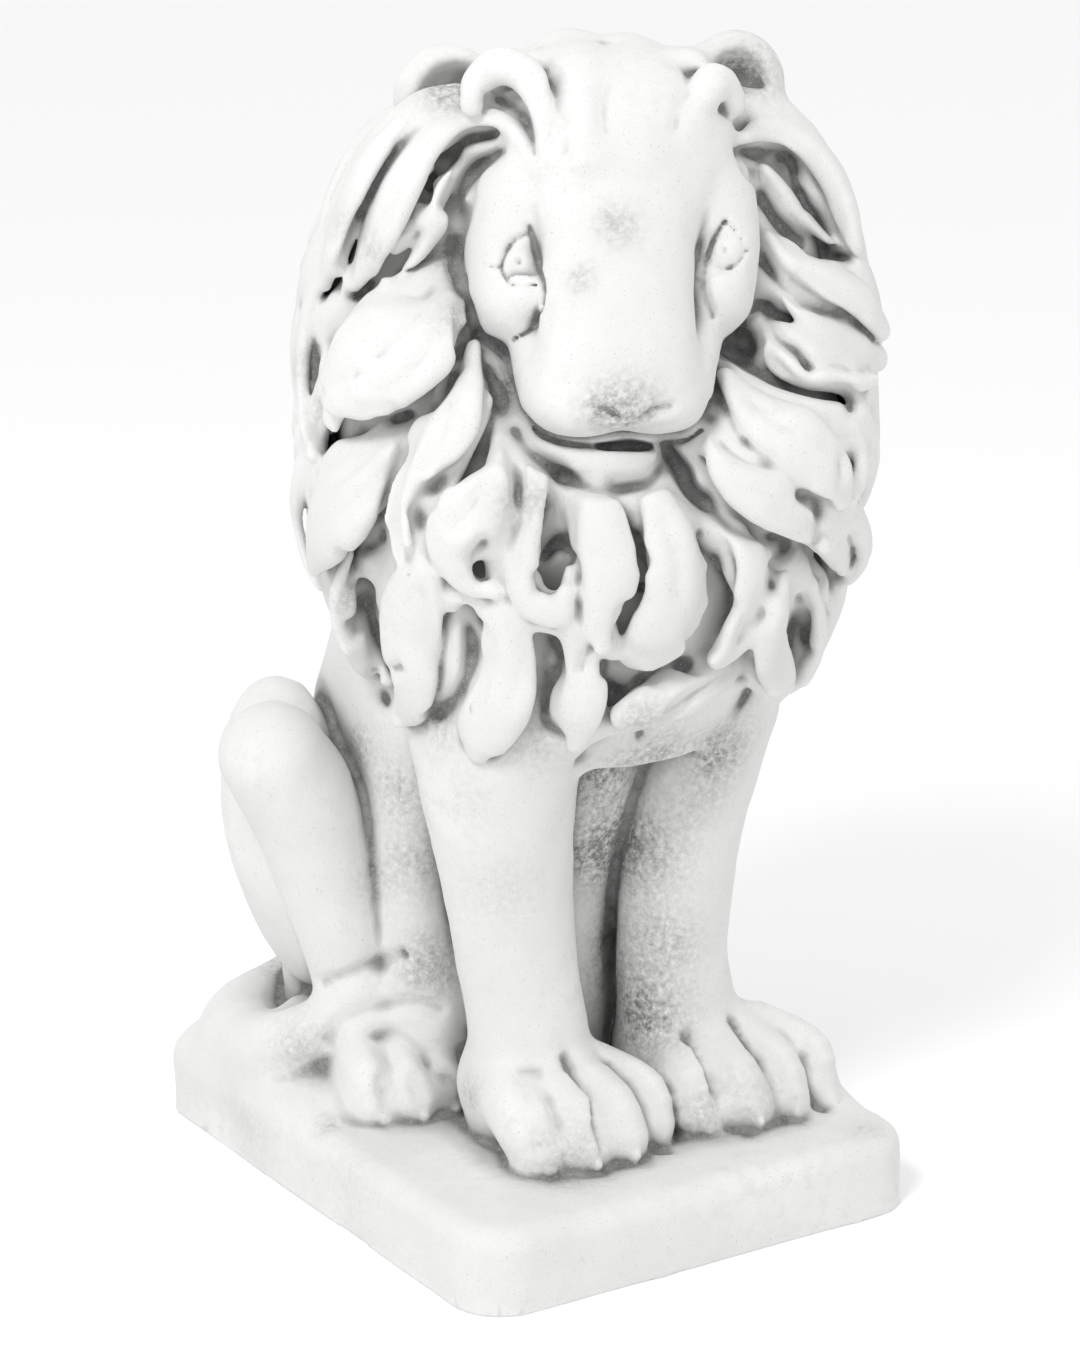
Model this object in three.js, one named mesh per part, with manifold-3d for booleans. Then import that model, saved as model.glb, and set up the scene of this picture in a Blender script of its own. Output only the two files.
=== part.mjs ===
// A seated garden lion with a full mane, cast in stone concrete in one piece with its plinth.
// Millimetres, +Z up. The origin is the middle of the plinth's underside, the plinth's front
// faces -Y, and the lion's own right side is -X.
import * as THREE from "three";
import { mergeVertices } from "three/addons/utils/BufferGeometryUtils.js";
import Module from "manifold-3d";

const wasm = await Module();
wasm.setup();

// Driving dimensions.
const HEIGHT = 700;
const PLINTH = { width: 315, length: 404, height: 50, corner: 34, edge: 14 };
const HEAD = { x: 13, y: -62, z: 600, turn: -22.7 };
const MANE = { x: 12, y: -48, top: HEIGHT - 6 };
const LOCK_THICKNESS = 17;
const CAST_COLOUR = 0xe4e2dc;

const WELD = 1e-4;
const X_AXIS = new THREE.Vector3(1, 0, 0);
const Z_AXIS = new THREE.Vector3(0, 0, 1);
const radians = THREE.MathUtils.degToRad;

// A closed geometry as a solid that can be joined and cut.
function solid(geometry) {
  const bare = geometry.clone();
  bare.deleteAttribute("normal");
  bare.deleteAttribute("uv");
  const merged = mergeVertices(bare, WELD);
  const vertProperties = merged.attributes.position.array;
  const triVerts = new Uint32Array(merged.index.array);
  return new wasm.Manifold(new wasm.Mesh({ numProp: 3, vertProperties, triVerts }));
}

// Closed rings of equally many points, joined side by side, with a point at each end.
function skin(rings, first, last) {
  const sides = rings[0].length;
  const points = [first, ...rings.flat(), last];
  const end = points.length - 1;
  const at = (ring, side) => 1 + ring * sides + (side % sides);
  const faces = [];
  for (let s = 0; s < sides; s++) {
    faces.push(0, at(0, s + 1), at(0, s));
    for (let r = 0; r < rings.length - 1; r++) {
      faces.push(at(r, s), at(r, s + 1), at(r + 1, s));
      faces.push(at(r, s + 1), at(r + 1, s + 1), at(r + 1, s));
    }
    faces.push(end, at(rings.length - 1, s), at(rings.length - 1, s + 1));
  }
  const geometry = new THREE.BufferGeometry().setFromPoints(points);
  geometry.setIndex(faces);
  return geometry;
}

// A limb of oval section along a smooth path. Each station is [x, y, z, half width, half depth],
// and the width lies as near to `across` as it can. An end that shows is `round`, and one that
// lies inside another form is a plain shallow point.
function limb(stations, { across = X_AXIS, rings = 6, sides = 12, round = [false, true] } = {}) {
  const path = new THREE.CatmullRomCurve3(stations.map(([x, y, z]) => new THREE.Vector3(x, y, z)));
  const size = new THREE.CatmullRomCurve3(stations.map(([, , , w, d]) => new THREE.Vector3(w, d, 0)));
  const ring = (t, beyond = 0, shrink = 1) => {
    const { x: w, y: d } = size.getPoint(t);
    const forward = path.getTangent(t);
    const centre = path.getPoint(t).addScaledVector(forward, beyond * Math.min(w, d));
    const wide = across.clone().addScaledVector(forward, -across.dot(forward)).normalize();
    const deep = new THREE.Vector3().crossVectors(forward, wide);
    const points = [];
    for (let s = 0; s < sides; s++) {
      const angle = (2 * Math.PI * s) / sides;
      const out = wide.clone().multiplyScalar(shrink * w * Math.cos(angle));
      points.push(out.addScaledVector(deep, shrink * d * Math.sin(angle)).add(centre));
    }
    return points;
  };
  const pole = (t, beyond) => {
    const points = ring(t, beyond);
    return points.reduce((sum, p) => sum.add(p), new THREE.Vector3()).divideScalar(sides);
  };
  const made = [];
  if (round[0]) made.push(ring(0, -0.42, 0.66));
  for (let r = 0; r <= rings; r++) made.push(ring(r / rings));
  if (round[1]) made.push(ring(1, 0.42, 0.66));
  return solid(skin(made, pole(0, round[0] ? -0.6 : -0.1), pole(1, round[1] ? 0.6 : 0.1)));
}

// An oval body with its own radii, turned about Z by `turn` degrees and tipped forward by `tip`.
function oval([x, y, z], [rx, ry, rz], { turn = 0, tip = 0, lean = 0, detail = 12 } = {}) {
  const geometry = new THREE.SphereGeometry(1, detail, Math.round(detail * 0.7));
  geometry.scale(rx, ry, rz);
  geometry.rotateX(radians(tip));
  geometry.rotateY(radians(lean));
  geometry.rotateZ(radians(turn));
  geometry.translate(x, y, z);
  return solid(geometry);
}

const join = (solids) => solids.reduce((whole, next) => whole.add(next));

// The rounded slab that everything stands on, with a worn, rounded upper edge.
function plinth() {
  const { width, length, height, corner, edge } = PLINTH;
  const [x, y] = [width / 2 - edge, length / 2 - edge];
  const r = corner - edge;
  const outline = new THREE.Shape();
  outline.absarc(x - r, y - r, r, 0, Math.PI / 2);
  outline.absarc(r - x, y - r, r, Math.PI / 2, Math.PI);
  outline.absarc(r - x, r - y, r, Math.PI, 1.5 * Math.PI);
  outline.absarc(x - r, r - y, r, 1.5 * Math.PI, 2 * Math.PI);
  const slab = new THREE.ExtrudeGeometry(outline, {
    depth: height,
    bevelThickness: edge,
    bevelSize: edge,
    bevelSegments: 3,
    curveSegments: 3,
  });
  slab.translate(0, 0, -edge);
  return solid(slab);
}

// Everything below the ground plane, which the plinth's underside is cut flat by.
function ground() {
  const depth = 100;
  const block = new THREE.BoxGeometry(2 * HEIGHT, 2 * HEIGHT, depth);
  block.translate(0, 0, -depth / 2);
  return solid(block);
}

// Rump, ribs and neck, and the mass under the belly that the mould leaves between the legs.
function torso() {
  const trunk = limb(
    [
      [-8, 118, 95, 92, 78],
      [-5, 100, 200, 96, 82],
      [2, 55, 310, 100, 88],
      [10, -5, 400, 108, 96],
      [12, -45, 490, 100, 90],
      [13, -55, 570, 86, 80],
    ],
    { rings: 6, sides: 12, round: [false, false] },
  );
  const belly = limb(
    [
      [4, 30, 50, 66, 78],
      [6, 18, 180, 66, 74],
      [10, -20, 330, 84, 80],
    ],
    { rings: 3, sides: 10, round: [false, false] },
  );
  return join([trunk, belly]);
}

// A foreleg from the shoulder to the wrist, on the lion's right (-1) or left (1).
function foreleg(side) {
  const [top, elbow, wrist, ankle] = side < 0 ? [-62, -58, -46, -41] : [84, 68, 64, 67];
  return limb(
    [
      [top, -58, 350, 50, 62],
      [top, -62, 310, 49, 60],
      [elbow, -65, 230, 41, 44],
      [wrist, -66, 150, 36, 34],
      [ankle, -68, 110, 38, 34],
      [ankle, -72, 70, 40, 36],
    ],
    { rings: 6, sides: 10, round: [false, false] },
  );
}

// A paw: a sloping back with four round toes side by side.
function paw({ x, y, width, length, height, splay }) {
  const toes = 4;
  const pitch = width / toes;
  const base = PLINTH.height;
  const parts = [
    limb(
      [
        [x - splay * 0.2, y, base + height * 0.62, width * 0.38, height * 0.5],
        [x, y - length * 0.55, base + height * 0.42, width * 0.46, height * 0.42],
      ],
      { rings: 1, sides: 8, round: [true, false] },
    ),
  ];
  for (let n = 0; n < toes; n++) {
    const across = n - (toes - 1) / 2;
    const reach = length * (1 - 0.05 * across * across);
    const tipX = x + splay * 0.5 + across * pitch * 1.04;
    parts.push(
      limb(
        [
          [x + across * pitch * 0.72, y - reach * 0.25, base + height * 0.62, pitch * 0.5, height * 0.3],
          [tipX, y - reach * 0.68, base + height * 0.5, pitch * 0.56, height * 0.36],
          [tipX, y - reach + pitch * 0.5, base + height * 0.22, pitch * 0.54, height * 0.28],
        ],
        { rings: 2, sides: 6 },
      ),
    );
  }
  return join(parts);
}

// A hind leg folded for sitting: a flat oval thigh, the knee with its shin in front of it, and
// the foot. The lion's right one leans out and the left one is tucked in under the flank.
function hindleg(side) {
  const right = { thigh: -103, knee: -148, shin: -118, ankle: -100, lean: -10 };
  const left = { thigh: 92, knee: 116, shin: 100, ankle: 94, lean: 8 };
  const out = side < 0 ? right : left;
  return join([
    oval([out.thigh, 98, 200], [42, 66, 108], { lean: out.lean, detail: 11 }),
    limb(
      [
        [out.knee, 52, 272, 31, 38],
        [out.shin, 46, 215, 37, 34],
        [out.ankle, 42, 128, 27, 30],
        [out.ankle, 48, 90, 26, 30],
      ],
      { rings: 5, sides: 10, round: [true, false] },
    ),
    limb(
      [
        [out.ankle, 95, 74, 27, 24],
        [out.ankle + 8, 50, 78, 33, 26],
      ],
      { rings: 2, sides: 8 },
    ),
  ]);
}

// The tail, which comes round the right haunch on the plinth and lies over the hind foot.
function tail() {
  return limb(
    [
      [-10, 168, 96, 30, 26],
      [-72, 184, 72, 21, 22],
      [-118, 162, 70, 20, 21],
      [-134, 112, 73, 19, 20],
      [-136, 66, 88, 18, 19],
      [-112, 34, 110, 17, 17],
      [-76, 16, 120, 17, 17],
      [-44, 10, 112, 18, 18],
    ],
    { across: Z_AXIS, rings: 11, sides: 8 },
  );
}

// The mane's mass under its locks, by height: [z, half width, half depth].
const MANE_STATIONS = [
  [290, 82, 74],
  [330, 116, 98],
  [380, 136, 110],
  [430, 146, 119],
  [480, 151, 125],
  [540, 150, 130],
  [600, 134, 118],
  [650, 104, 94],
  [682, 66, 56],
];
// Above the chest the mane falls back to a ruff, and the face stands out in front of it.
const RUFF = { from: 455, to: 560, depth: 0.45 };

function maneSize(z) {
  const last = MANE_STATIONS.length - 2;
  let n = MANE_STATIONS.findIndex(([height]) => height > z) - 1;
  if (n < 0) n = z < MANE_STATIONS[0][0] ? 0 : last;
  const [z0, w0, d0] = MANE_STATIONS[n];
  const [z1, w1, d1] = MANE_STATIONS[n + 1];
  const t = THREE.MathUtils.clamp((z - z0) / (z1 - z0), 0, 1);
  return [THREE.MathUtils.lerp(w0, w1, t), THREE.MathUtils.lerp(d0, d1, t)];
}

// A point of the mane's surface. The azimuth is 0 in front of the face and grows to the lion's left.
function maneSurface(azimuth, z) {
  const [w, d] = maneSize(z);
  const a = radians(azimuth);
  const ruff = 1 - (1 - RUFF.depth) * THREE.MathUtils.smoothstep(z, RUFF.from, RUFF.to);
  const depth = Math.cos(a) > 0 ? d * ruff : d;
  const point = new THREE.Vector3(w * Math.sin(a), -depth * Math.cos(a), z);
  point.applyAxisAngle(Z_AXIS, radians(HEAD.turn));
  return point.add(new THREE.Vector3(MANE.x, MANE.y, 0));
}

function maneNormal(azimuth, z) {
  const along = maneSurface(azimuth + 3, z).sub(maneSurface(azimuth - 3, z));
  const up = maneSurface(azimuth, z + 6).sub(maneSurface(azimuth, z - 6));
  return along.cross(up).normalize();
}

function maneCore() {
  const sides = 16;
  const rings = MANE_STATIONS.map(([z]) =>
    Array.from({ length: sides }, (_, s) => maneSurface((360 * s) / sides, z)),
  );
  const low = new THREE.Vector3(MANE.x, MANE.y, MANE_STATIONS[0][0] - 20);
  return solid(skin(rings, low, new THREE.Vector3(MANE.x, MANE.y, MANE.top)));
}

// One lock of the mane: it leaves the mass at its root, swells into a leaf of two strands with a
// winding groove between them, and ends in a tip that stands free. The path is a list of
// [azimuth, height] on the mane's surface from root to tip, and width is half the leaf's width.
function lock({ path, width, lift = 12, rings = 4, strands = 2 }) {
  const course = new THREE.CatmullRomCurve3(path.map(([azimuth, z]) => new THREE.Vector3(azimuth, z, 0)));
  const centre = (t) => {
    const { x: azimuth, y: z } = course.getPoint(t);
    const rise = -6 + (lift + 6) * Math.sin(Math.PI * Math.min(0.5, t * 0.7));
    return maneSurface(azimuth, z).addScaledVector(maneNormal(azimuth, z), rise);
  };
  const section = (t) => {
    const { x: azimuth, y: z } = course.getPoint(t);
    const out = maneNormal(azimuth, z);
    const forward = centre(Math.min(1, t + 0.02)).sub(centre(Math.max(0, t - 0.02))).normalize();
    const wide = new THREE.Vector3().crossVectors(forward, out).normalize();
    const leaf = Math.sqrt(Math.sin(Math.PI * (0.14 + 0.76 * t)));
    const w = width * leaf;
    const h = LOCK_THICKNESS * leaf;
    const groove = 0.35 * Math.sin(2 * Math.PI * (t - 0.1));
    const shape = [
      [-1, -0.5],
      [-0.6, 0.8],
      ...(strands > 1 ? [[groove, 0.45]] : []),
      [0.6, 0.8],
      [1, -0.5],
    ];
    return shape.map(([u, v]) => centre(t).addScaledVector(wide, u * w).addScaledVector(out, v * h));
  };
  const made = [];
  for (let r = 0; r <= rings; r++) made.push(section(r / rings));
  const point = centre(1).multiplyScalar(2).sub(centre(0.93));
  return solid(skin(made, centre(0), point));
}

// The locks that frame the face and hang on the chest, from the brow down.
const FRONT_LOCKS = [
  { path: [[-25, 652], [-55, 651], [-71, 617], [-72, 570]], width: 25, lift: 18 },
  { path: [[-37, 640], [-42, 618], [-47, 599], [-56, 570]], width: 14, lift: 16, rings: 3, strands: 1 },
  { path: [[40, 648], [84, 642], [90, 609], [86, 570]], width: 24, lift: 16 },
  { path: [[-34, 568], [-44, 544], [-58, 518], [-71, 488]], width: 31, lift: 20 },
  { path: [[40, 574], [58, 555], [82, 530], [86, 496]], width: 25, lift: 20 },
  { path: [[34, 540], [43, 521], [57, 507], [80, 492]], width: 20, lift: 20, rings: 3, strands: 1 },
  { path: [[-76, 560], [-95, 527], [-98, 494], [-96, 460]], width: 17, lift: 12, rings: 3, strands: 1 },
  { path: [[-30, 528], [-37, 492], [-45, 451], [-41, 412], [-29, 396]], width: 24, lift: 20, rings: 5 },
  { path: [[-24, 493], [-26, 463], [-31, 438], [-42, 420]], width: 17, lift: 24, rings: 3, strands: 1 },
  { path: [[19, 500], [30, 472], [48, 444], [72, 400]], width: 31, lift: 22 },
  { path: [[28, 516], [41, 494], [64, 472], [80, 436]], width: 21, lift: 20, rings: 3, strands: 1 },
  { path: [[-50, 482], [-68, 455], [-90, 418], [-84, 386]], width: 27, lift: 15 },
  { path: [[66, 440], [82, 415], [84, 392], [78, 376]], width: 18, lift: 14, rings: 3, strands: 1 },
  { path: [[-20, 482], [-25, 441], [-23, 402], [-11, 390]], width: 18, lift: 18, rings: 5 },
  { path: [[-8, 461], [-6, 424], [-9, 392], [-3, 368]], width: 18, lift: 17 },
  { path: [[1, 462], [10, 428], [13, 390], [5, 362]], width: 20, lift: 18 },
  { path: [[14, 447], [28, 417], [33, 386], [24, 357]], width: 18, lift: 16 },
  { path: [[42, 410], [37, 386], [43, 358], [62, 322]], width: 15, lift: 14, rings: 3, strands: 1 },
  { path: [[47, 401], [74, 370], [80, 342], [70, 316]], width: 19, lift: 12, rings: 3, strands: 1 },
  { path: [[-51, 407], [-43, 377], [-54, 337], [-80, 300]], width: 25, lift: 13 },
  { path: [[-74, 409], [-93, 374], [-94, 350], [-90, 328]], width: 15, lift: 12, rings: 3, strands: 1 },
  { path: [[-24, 388], [-32, 352], [-42, 323], [-62, 286]], width: 21, lift: 12, rings: 3, strands: 1 },
  { path: [[-11, 375], [-10, 344], [-14, 321], [-20, 298]], width: 19, lift: 12, rings: 3, strands: 1 },
  { path: [[34, 347], [21, 339], [8, 332], [-6, 318]], width: 17, lift: 10, rings: 3, strands: 1 },
  { path: [[36, 361], [54, 336], [66, 306]], width: 16, lift: 10, rings: 3, strands: 1 },
];

// The rows that go round the sides and back: height of the roots, drop, first azimuth and count.
const BACK_ROWS = [
  { z: 646, drop: 80, from: 112, count: 4, width: 34 },
  { z: 578, drop: 88, from: 116, count: 4, width: 38 },
  { z: 504, drop: 92, from: 110, count: 4, width: 40 },
  { z: 430, drop: 88, from: 116, count: 4, width: 37 },
];

function backLocks() {
  const locks = [];
  BACK_ROWS.forEach(({ z, drop, from, count, width }, row) => {
    const step = (360 - 2 * from) / (count - 1);
    for (let n = 0; n < count; n++) {
      const azimuth = from + n * step;
      const sway = row % 2 ? 6 : -6;
      const path = [
        [azimuth, z],
        [azimuth + sway, z - drop * 0.5],
        [azimuth - sway * 0.6, z - drop],
      ];
      locks.push(lock({ path, width, rings: 3, strands: 1 }));
    }
  });
  return locks;
}

// A place in the head's own frame, by millimetres to the lion's left, ahead and up.
function inHead(left, ahead, up) {
  const place = new THREE.Vector3(left, -ahead, up).applyAxisAngle(Z_AXIS, radians(HEAD.turn));
  return [HEAD.x + place.x, HEAD.y + place.y, HEAD.z + place.z];
}

// Skull, cheeks, the long broad muzzle, lips, chin and nose.
function head() {
  const turn = HEAD.turn;
  const across = X_AXIS.clone().applyAxisAngle(Z_AXIS, radians(turn));
  const muzzle = limb(
    [
      [...inHead(0, 18, 40), 46, 38],
      [...inHead(0, 60, -4), 47, 37],
      [...inHead(0, 90, -46), 47, 34],
      [...inHead(0, 104, -78), 51, 31],
    ],
    { across, rings: 3, sides: 11 },
  );
  const parts = [
    oval(inHead(0, 0, 12), [86, 78, 84], { turn, detail: 12 }),
    oval(inHead(0, 32, 34), [70, 50, 52], { turn, detail: 10 }),
    oval(inHead(0, 6, -44), [76, 60, 56], { turn, detail: 10 }),
    muzzle,
    oval(inHead(0, 76, -112), [30, 42, 18], { turn, tip: 8, detail: 8 }),
    oval(inHead(0, 126, -87), [22, 13, 11], { turn, detail: 8 }),
  ];
  for (const side of [-1, 1]) {
    const cheek = limb(
      [
        [...inHead(side * 58, 20, 0), 26, 40],
        [...inHead(side * 57, 36, -30), 29, 38],
        [...inHead(side * 44, 66, -70), 26, 30],
        [...inHead(side * 28, 96, -94), 25, 22],
      ],
      { across, rings: 2, sides: 8 },
    );
    parts.push(cheek, oval(inHead(side * 60, 55, -13), [13, 12, 14], { turn, detail: 8 }));
  }
  return join(parts);
}

// A round cupped ear that stands up out of the mane.
function ear(side) {
  const turn = HEAD.turn + side * 18;
  const shell = oval(inHead(side * 86, -14, 64), [34, 20, 34], { turn, detail: 10 });
  const cup = oval(inHead(side * 85, 8, 70), [22, 20, 22], { turn, detail: 7 });
  return shell.subtract(cup);
}

// The tufts combed back over the crown between the ears.
function crownTufts() {
  const across = X_AXIS.clone().applyAxisAngle(Z_AXIS, radians(HEAD.turn));
  return [-48, -24, 0, 24, 48].map((left) =>
    limb(
      [
        [...inHead(left * 0.75, 70, 44), 8, 6],
        [...inHead(left * 0.95, 50, 76), 14, 10],
        [...inHead(left, 8, 89), 15, 10],
        [...inHead(left * 1.1, -36, 76), 12, 9],
      ],
      { across, rings: 2, sides: 5 },
    ),
  );
}

// The whole casting, cut flat underneath.
function lion() {
  const whole = join([
    plinth(),
    torso(),
    maneCore(),
    head(),
    ...[-1, 1].flatMap((side) => [foreleg(side), hindleg(side), ear(side)]),
    paw({ x: -37, y: -62, width: 108, length: 92, height: 56, splay: 6 }),
    paw({ x: 78, y: -62, width: 110, length: 88, height: 56, splay: 6 }),
    paw({ x: -84, y: 48, width: 90, length: 80, height: 52, splay: 4 }),
    paw({ x: 98, y: 40, width: 80, length: 74, height: 50, splay: 0 }),
    tail(),
    ...crownTufts(),
    ...FRONT_LOCKS.map(lock),
    ...backLocks(),
  ]);
  return whole.subtract(ground());
}

// The outer skin alone. Locks that overlap can shut in small hollows, and the casting is solid
// there, so only the faces that are linked to the most others are kept.
function outerSkin({ vertProperties, triVerts }) {
  const group = Array.from({ length: vertProperties.length / 3 }, (_, n) => n);
  const groupOf = (n) => {
    while (group[n] !== n) n = group[n] = group[group[n]];
    return n;
  };
  for (let t = 0; t < triVerts.length; t += 3) {
    const home = groupOf(triVerts[t]);
    group[groupOf(triVerts[t + 1])] = home;
    group[groupOf(triVerts[t + 2])] = home;
  }
  const faces = new Map();
  for (let t = 0; t < triVerts.length; t += 3) {
    const home = groupOf(triVerts[t]);
    if (!faces.has(home)) faces.set(home, []);
    faces.get(home).push(...triVerts.slice(t, t + 3));
  }
  return [...faces.values()].reduce((most, some) => (some.length > most.length ? some : most));
}

function geometryOf(shape) {
  const mesh = shape.getMesh();
  const shared = new THREE.BufferGeometry();
  shared.setAttribute("position", new THREE.BufferAttribute(mesh.vertProperties, 3));
  shared.setIndex(outerSkin(mesh));
  const geometry = mergeVertices(shared.toNonIndexed(), WELD);
  geometry.computeVertexNormals();
  return geometry;
}

const cast = new THREE.MeshStandardMaterial({ color: CAST_COLOUR, roughness: 0.85, metalness: 0 });
const statue = new THREE.Mesh(geometryOf(lion()), cast);
statue.name = "lion_statue";

const group = new THREE.Group();
group.add(statue);

export default group;
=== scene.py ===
"""A seated garden lion cast in pale stone concrete, in one piece with its plinth.

The statue is shaped as a block of distances, in millimetres: soft forms are joined to it, locks are
laid over the mane, and grooves are cut. The surface becomes one mesh, in metres. The plinth's front
faces -Y, and the lion's own right side is -X."""

import math

import bmesh
import bpy
import numpy as np
import openvdb
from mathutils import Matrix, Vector


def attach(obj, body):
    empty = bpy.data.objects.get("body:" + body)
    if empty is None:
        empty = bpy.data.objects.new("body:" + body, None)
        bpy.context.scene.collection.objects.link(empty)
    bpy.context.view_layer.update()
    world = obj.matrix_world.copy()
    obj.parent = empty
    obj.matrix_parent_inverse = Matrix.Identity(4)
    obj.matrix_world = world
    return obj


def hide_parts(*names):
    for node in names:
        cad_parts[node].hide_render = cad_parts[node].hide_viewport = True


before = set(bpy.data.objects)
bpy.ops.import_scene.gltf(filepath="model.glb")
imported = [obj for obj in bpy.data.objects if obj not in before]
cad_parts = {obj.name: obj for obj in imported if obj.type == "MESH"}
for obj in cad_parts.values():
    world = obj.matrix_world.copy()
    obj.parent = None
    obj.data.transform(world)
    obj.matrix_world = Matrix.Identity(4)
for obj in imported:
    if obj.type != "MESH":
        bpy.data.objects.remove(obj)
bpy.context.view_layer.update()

MM = 0.001
# The block's cell. Its distances start at FAR, and the surface needs them only as far as BAND.
STEP = 1.75
FAR = 60.0
BAND = 8.0
# The mesh's triangles, the points of a loose speck, and the height that still counts as the floor.
FACES = 195000
SPECK = 400
ON_FLOOR = 0.9

# The statue's own sizes, the same as the solid's.
PLINTH = {"width": 315, "length": 404, "height": 50, "corner": 34, "edge": 14}
HEAD = np.array([13.0, -62.0, 600.0])
TURN = math.radians(-22.7)
MUZZLE_DRIFT, DRIFT_FROM = 0.12, 25
MANE = np.array([12.0, -48.0])
X_AXIS = np.array([1.0, 0.0, 0.0])
Z_AXIS = np.array([0.0, 0.0, 1.0])
LEFT = np.array([math.cos(TURN), math.sin(TURN), 0.0])
AHEAD = np.array([math.sin(TURN), -math.cos(TURN), 0.0])

# The photograph's view. Its size is in pixels, and the rest in millimetres and degrees.
PHOTO_WIDTH, PHOTO_HEIGHT = 1080, 1350
LENS, SENSOR = 91.25, 36.0
AIM = np.array([10.5, 0.0, 310.6])
AZIMUTH, ELEVATION, AWAY = math.radians(-32.7), math.radians(14.9), 2097.0
LEVEL = math.cos(ELEVATION)
VIEW_BACK = np.array([math.sin(AZIMUTH) * LEVEL, -math.cos(AZIMUTH) * LEVEL, math.sin(ELEVATION)])
VIEW_RIGHT = np.array([math.cos(AZIMUTH), math.sin(AZIMUTH), 0.0])
VIEW_UP = np.cross(VIEW_BACK, VIEW_RIGHT)
EYE = AIM + VIEW_BACK * AWAY
FOCAL = LENS / SENSOR * PHOTO_HEIGHT
# How far about the aim the clay is looked for, and how narrowly a sight may miss it.
SIGHT_RANGE = 400
NEAR_MISS = 9.0


def unit(v):
    return v / np.linalg.norm(v)


def smooth_min(a, b, k):
    """The lower of two distances, with the corner between them rounded over about k."""
    h = np.maximum(k - np.abs(a - b), 0) / k
    return np.minimum(a, b) - h * h * (k * 0.25)


def spline(points, count):
    """Points along a smooth curve through the given rows, evenly spaced by row."""
    rows = np.asarray(points, float)
    ends = np.vstack([2 * rows[0] - rows[1], rows, 2 * rows[-1] - rows[-2]])
    out = []
    for t in np.linspace(0, len(rows) - 1, count):
        n = min(int(t), len(rows) - 2)
        f = t - n
        p0, p1, p2, p3 = ends[n : n + 4]
        once = p2 - p0
        twice = 2 * p0 - 5 * p1 + 4 * p2 - p3
        thrice = 3 * p1 - p0 - 3 * p2 + p3
        out.append(0.5 * (2 * p1 + once * f + twice * f**2 + thrice * f**3))
    return np.array(out)


class Form:
    """A shape as pieces, each with its box and a function. The function gives how far points lie from
    the piece, and from its middle line: the piece with the nearest middle line shapes the form."""

    def __init__(self, pieces):
        self.pieces = pieces
        self.low = np.min([low for low, _, _ in pieces], axis=0)
        self.high = np.max([high for _, high, _ in pieces], axis=0)


def oval_gap(u, v, w, radii):
    """The distance to an ellipsoid, nearly, from places in its own axes."""
    a, b, c = radii
    near = np.sqrt((u / a) ** 2 + (v / b) ** 2 + (w / c) ** 2)
    slope = np.sqrt((u / a**2) ** 2 + (v / b**2) ** 2 + (w / c**2) ** 2)
    return near * (near - 1) / np.maximum(slope, 1e-6)


def axis_place(points, centre, axis):
    x, y, z = points
    return (x - centre[0]) * axis[0] + (y - centre[1]) * axis[1] + (z - centre[2]) * axis[2]


def ball(centre, radii, turn=0.0, lean=0.0):
    """An ellipsoid, turned about Z and leaned about Y, in degrees."""
    centre = np.asarray(centre, float)
    a, b = math.radians(turn), math.radians(lean)
    about_y = np.array([[math.cos(b), 0, math.sin(b)], [0, 1, 0], [-math.sin(b), 0, math.cos(b)]])
    about_z = np.array([[math.cos(a), -math.sin(a), 0], [math.sin(a), math.cos(a), 0], [0, 0, 1]])
    axes = about_z @ about_y
    extent = np.sqrt(((axes * np.asarray(radii, float)) ** 2).sum(axis=1))

    def gap(points):
        places = [axis_place(points, centre, axes[:, n]) for n in range(3)]
        return oval_gap(*places, radii), 0.0

    return Form([(centre - extent, centre + extent, gap)])


def head_ball(place, radii, turn=0.0):
    return ball(in_head(*place), radii, math.degrees(TURN) + turn)


def crossed(firsts, seconds):
    """The unit vectors that are square to each pair of vectors."""
    return np.array([unit(np.cross(a, b)) for a, b in zip(firsts, seconds)])


def tube(centres, widths, depths, wide):
    """A run of oval section: its half width lies along `wide`, one vector or one a station."""
    centres = np.asarray(centres, float)
    ways = np.gradient(centres, axis=0)
    wide = np.broadcast_to(np.asarray(wide, float), centres.shape)
    sides = [unit(np.cross(np.cross(way, side), way)) for way, side in zip(ways, wide)]
    backs = crossed(ways, sides)
    pieces = []
    for n in range(len(centres) - 1):
        start, end = centres[n], centres[n + 1]
        length = np.linalg.norm(end - start)
        along = (end - start) / length
        frames = (sides[n], sides[n + 1] - sides[n], backs[n], backs[n + 1] - backs[n])
        sizes = (widths[n], widths[n + 1], depths[n], depths[n + 1])
        reach = max(sizes)

        def gap(points, start=start, along=along, length=length, frames=frames, sizes=sizes):
            t = axis_place(points, start, along)
            s = np.clip(t / length, 0, 1)
            w = sizes[0] + (sizes[1] - sizes[0]) * s
            h = sizes[2] + (sizes[3] - sizes[2]) * s
            places = []
            for first, change in (frames[:2], frames[2:]):
                place = axis_place(points, start, first) + s * axis_place(points, start, change)
                places.append(place - s * length * (along.dot(first) + s * along.dot(change)))
            past = t - s * length
            off_line = np.sqrt(places[0] ** 2 + places[1] ** 2 + past**2)
            return oval_gap(*places, past, (w, h, np.minimum(w, h))), off_line

        low = np.minimum(start, end) - reach
        high = np.maximum(start, end) + reach
        pieces.append((low, high, gap))
    return Form(pieces)


def limb(stations, across=X_AXIS, count=10):
    """A tube along a smooth path of [x, y, z, half width, half depth] stations."""
    rows = spline(stations, count)
    return tube(rows[:, :3], rows[:, 3], rows[:, 4], across)


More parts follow.
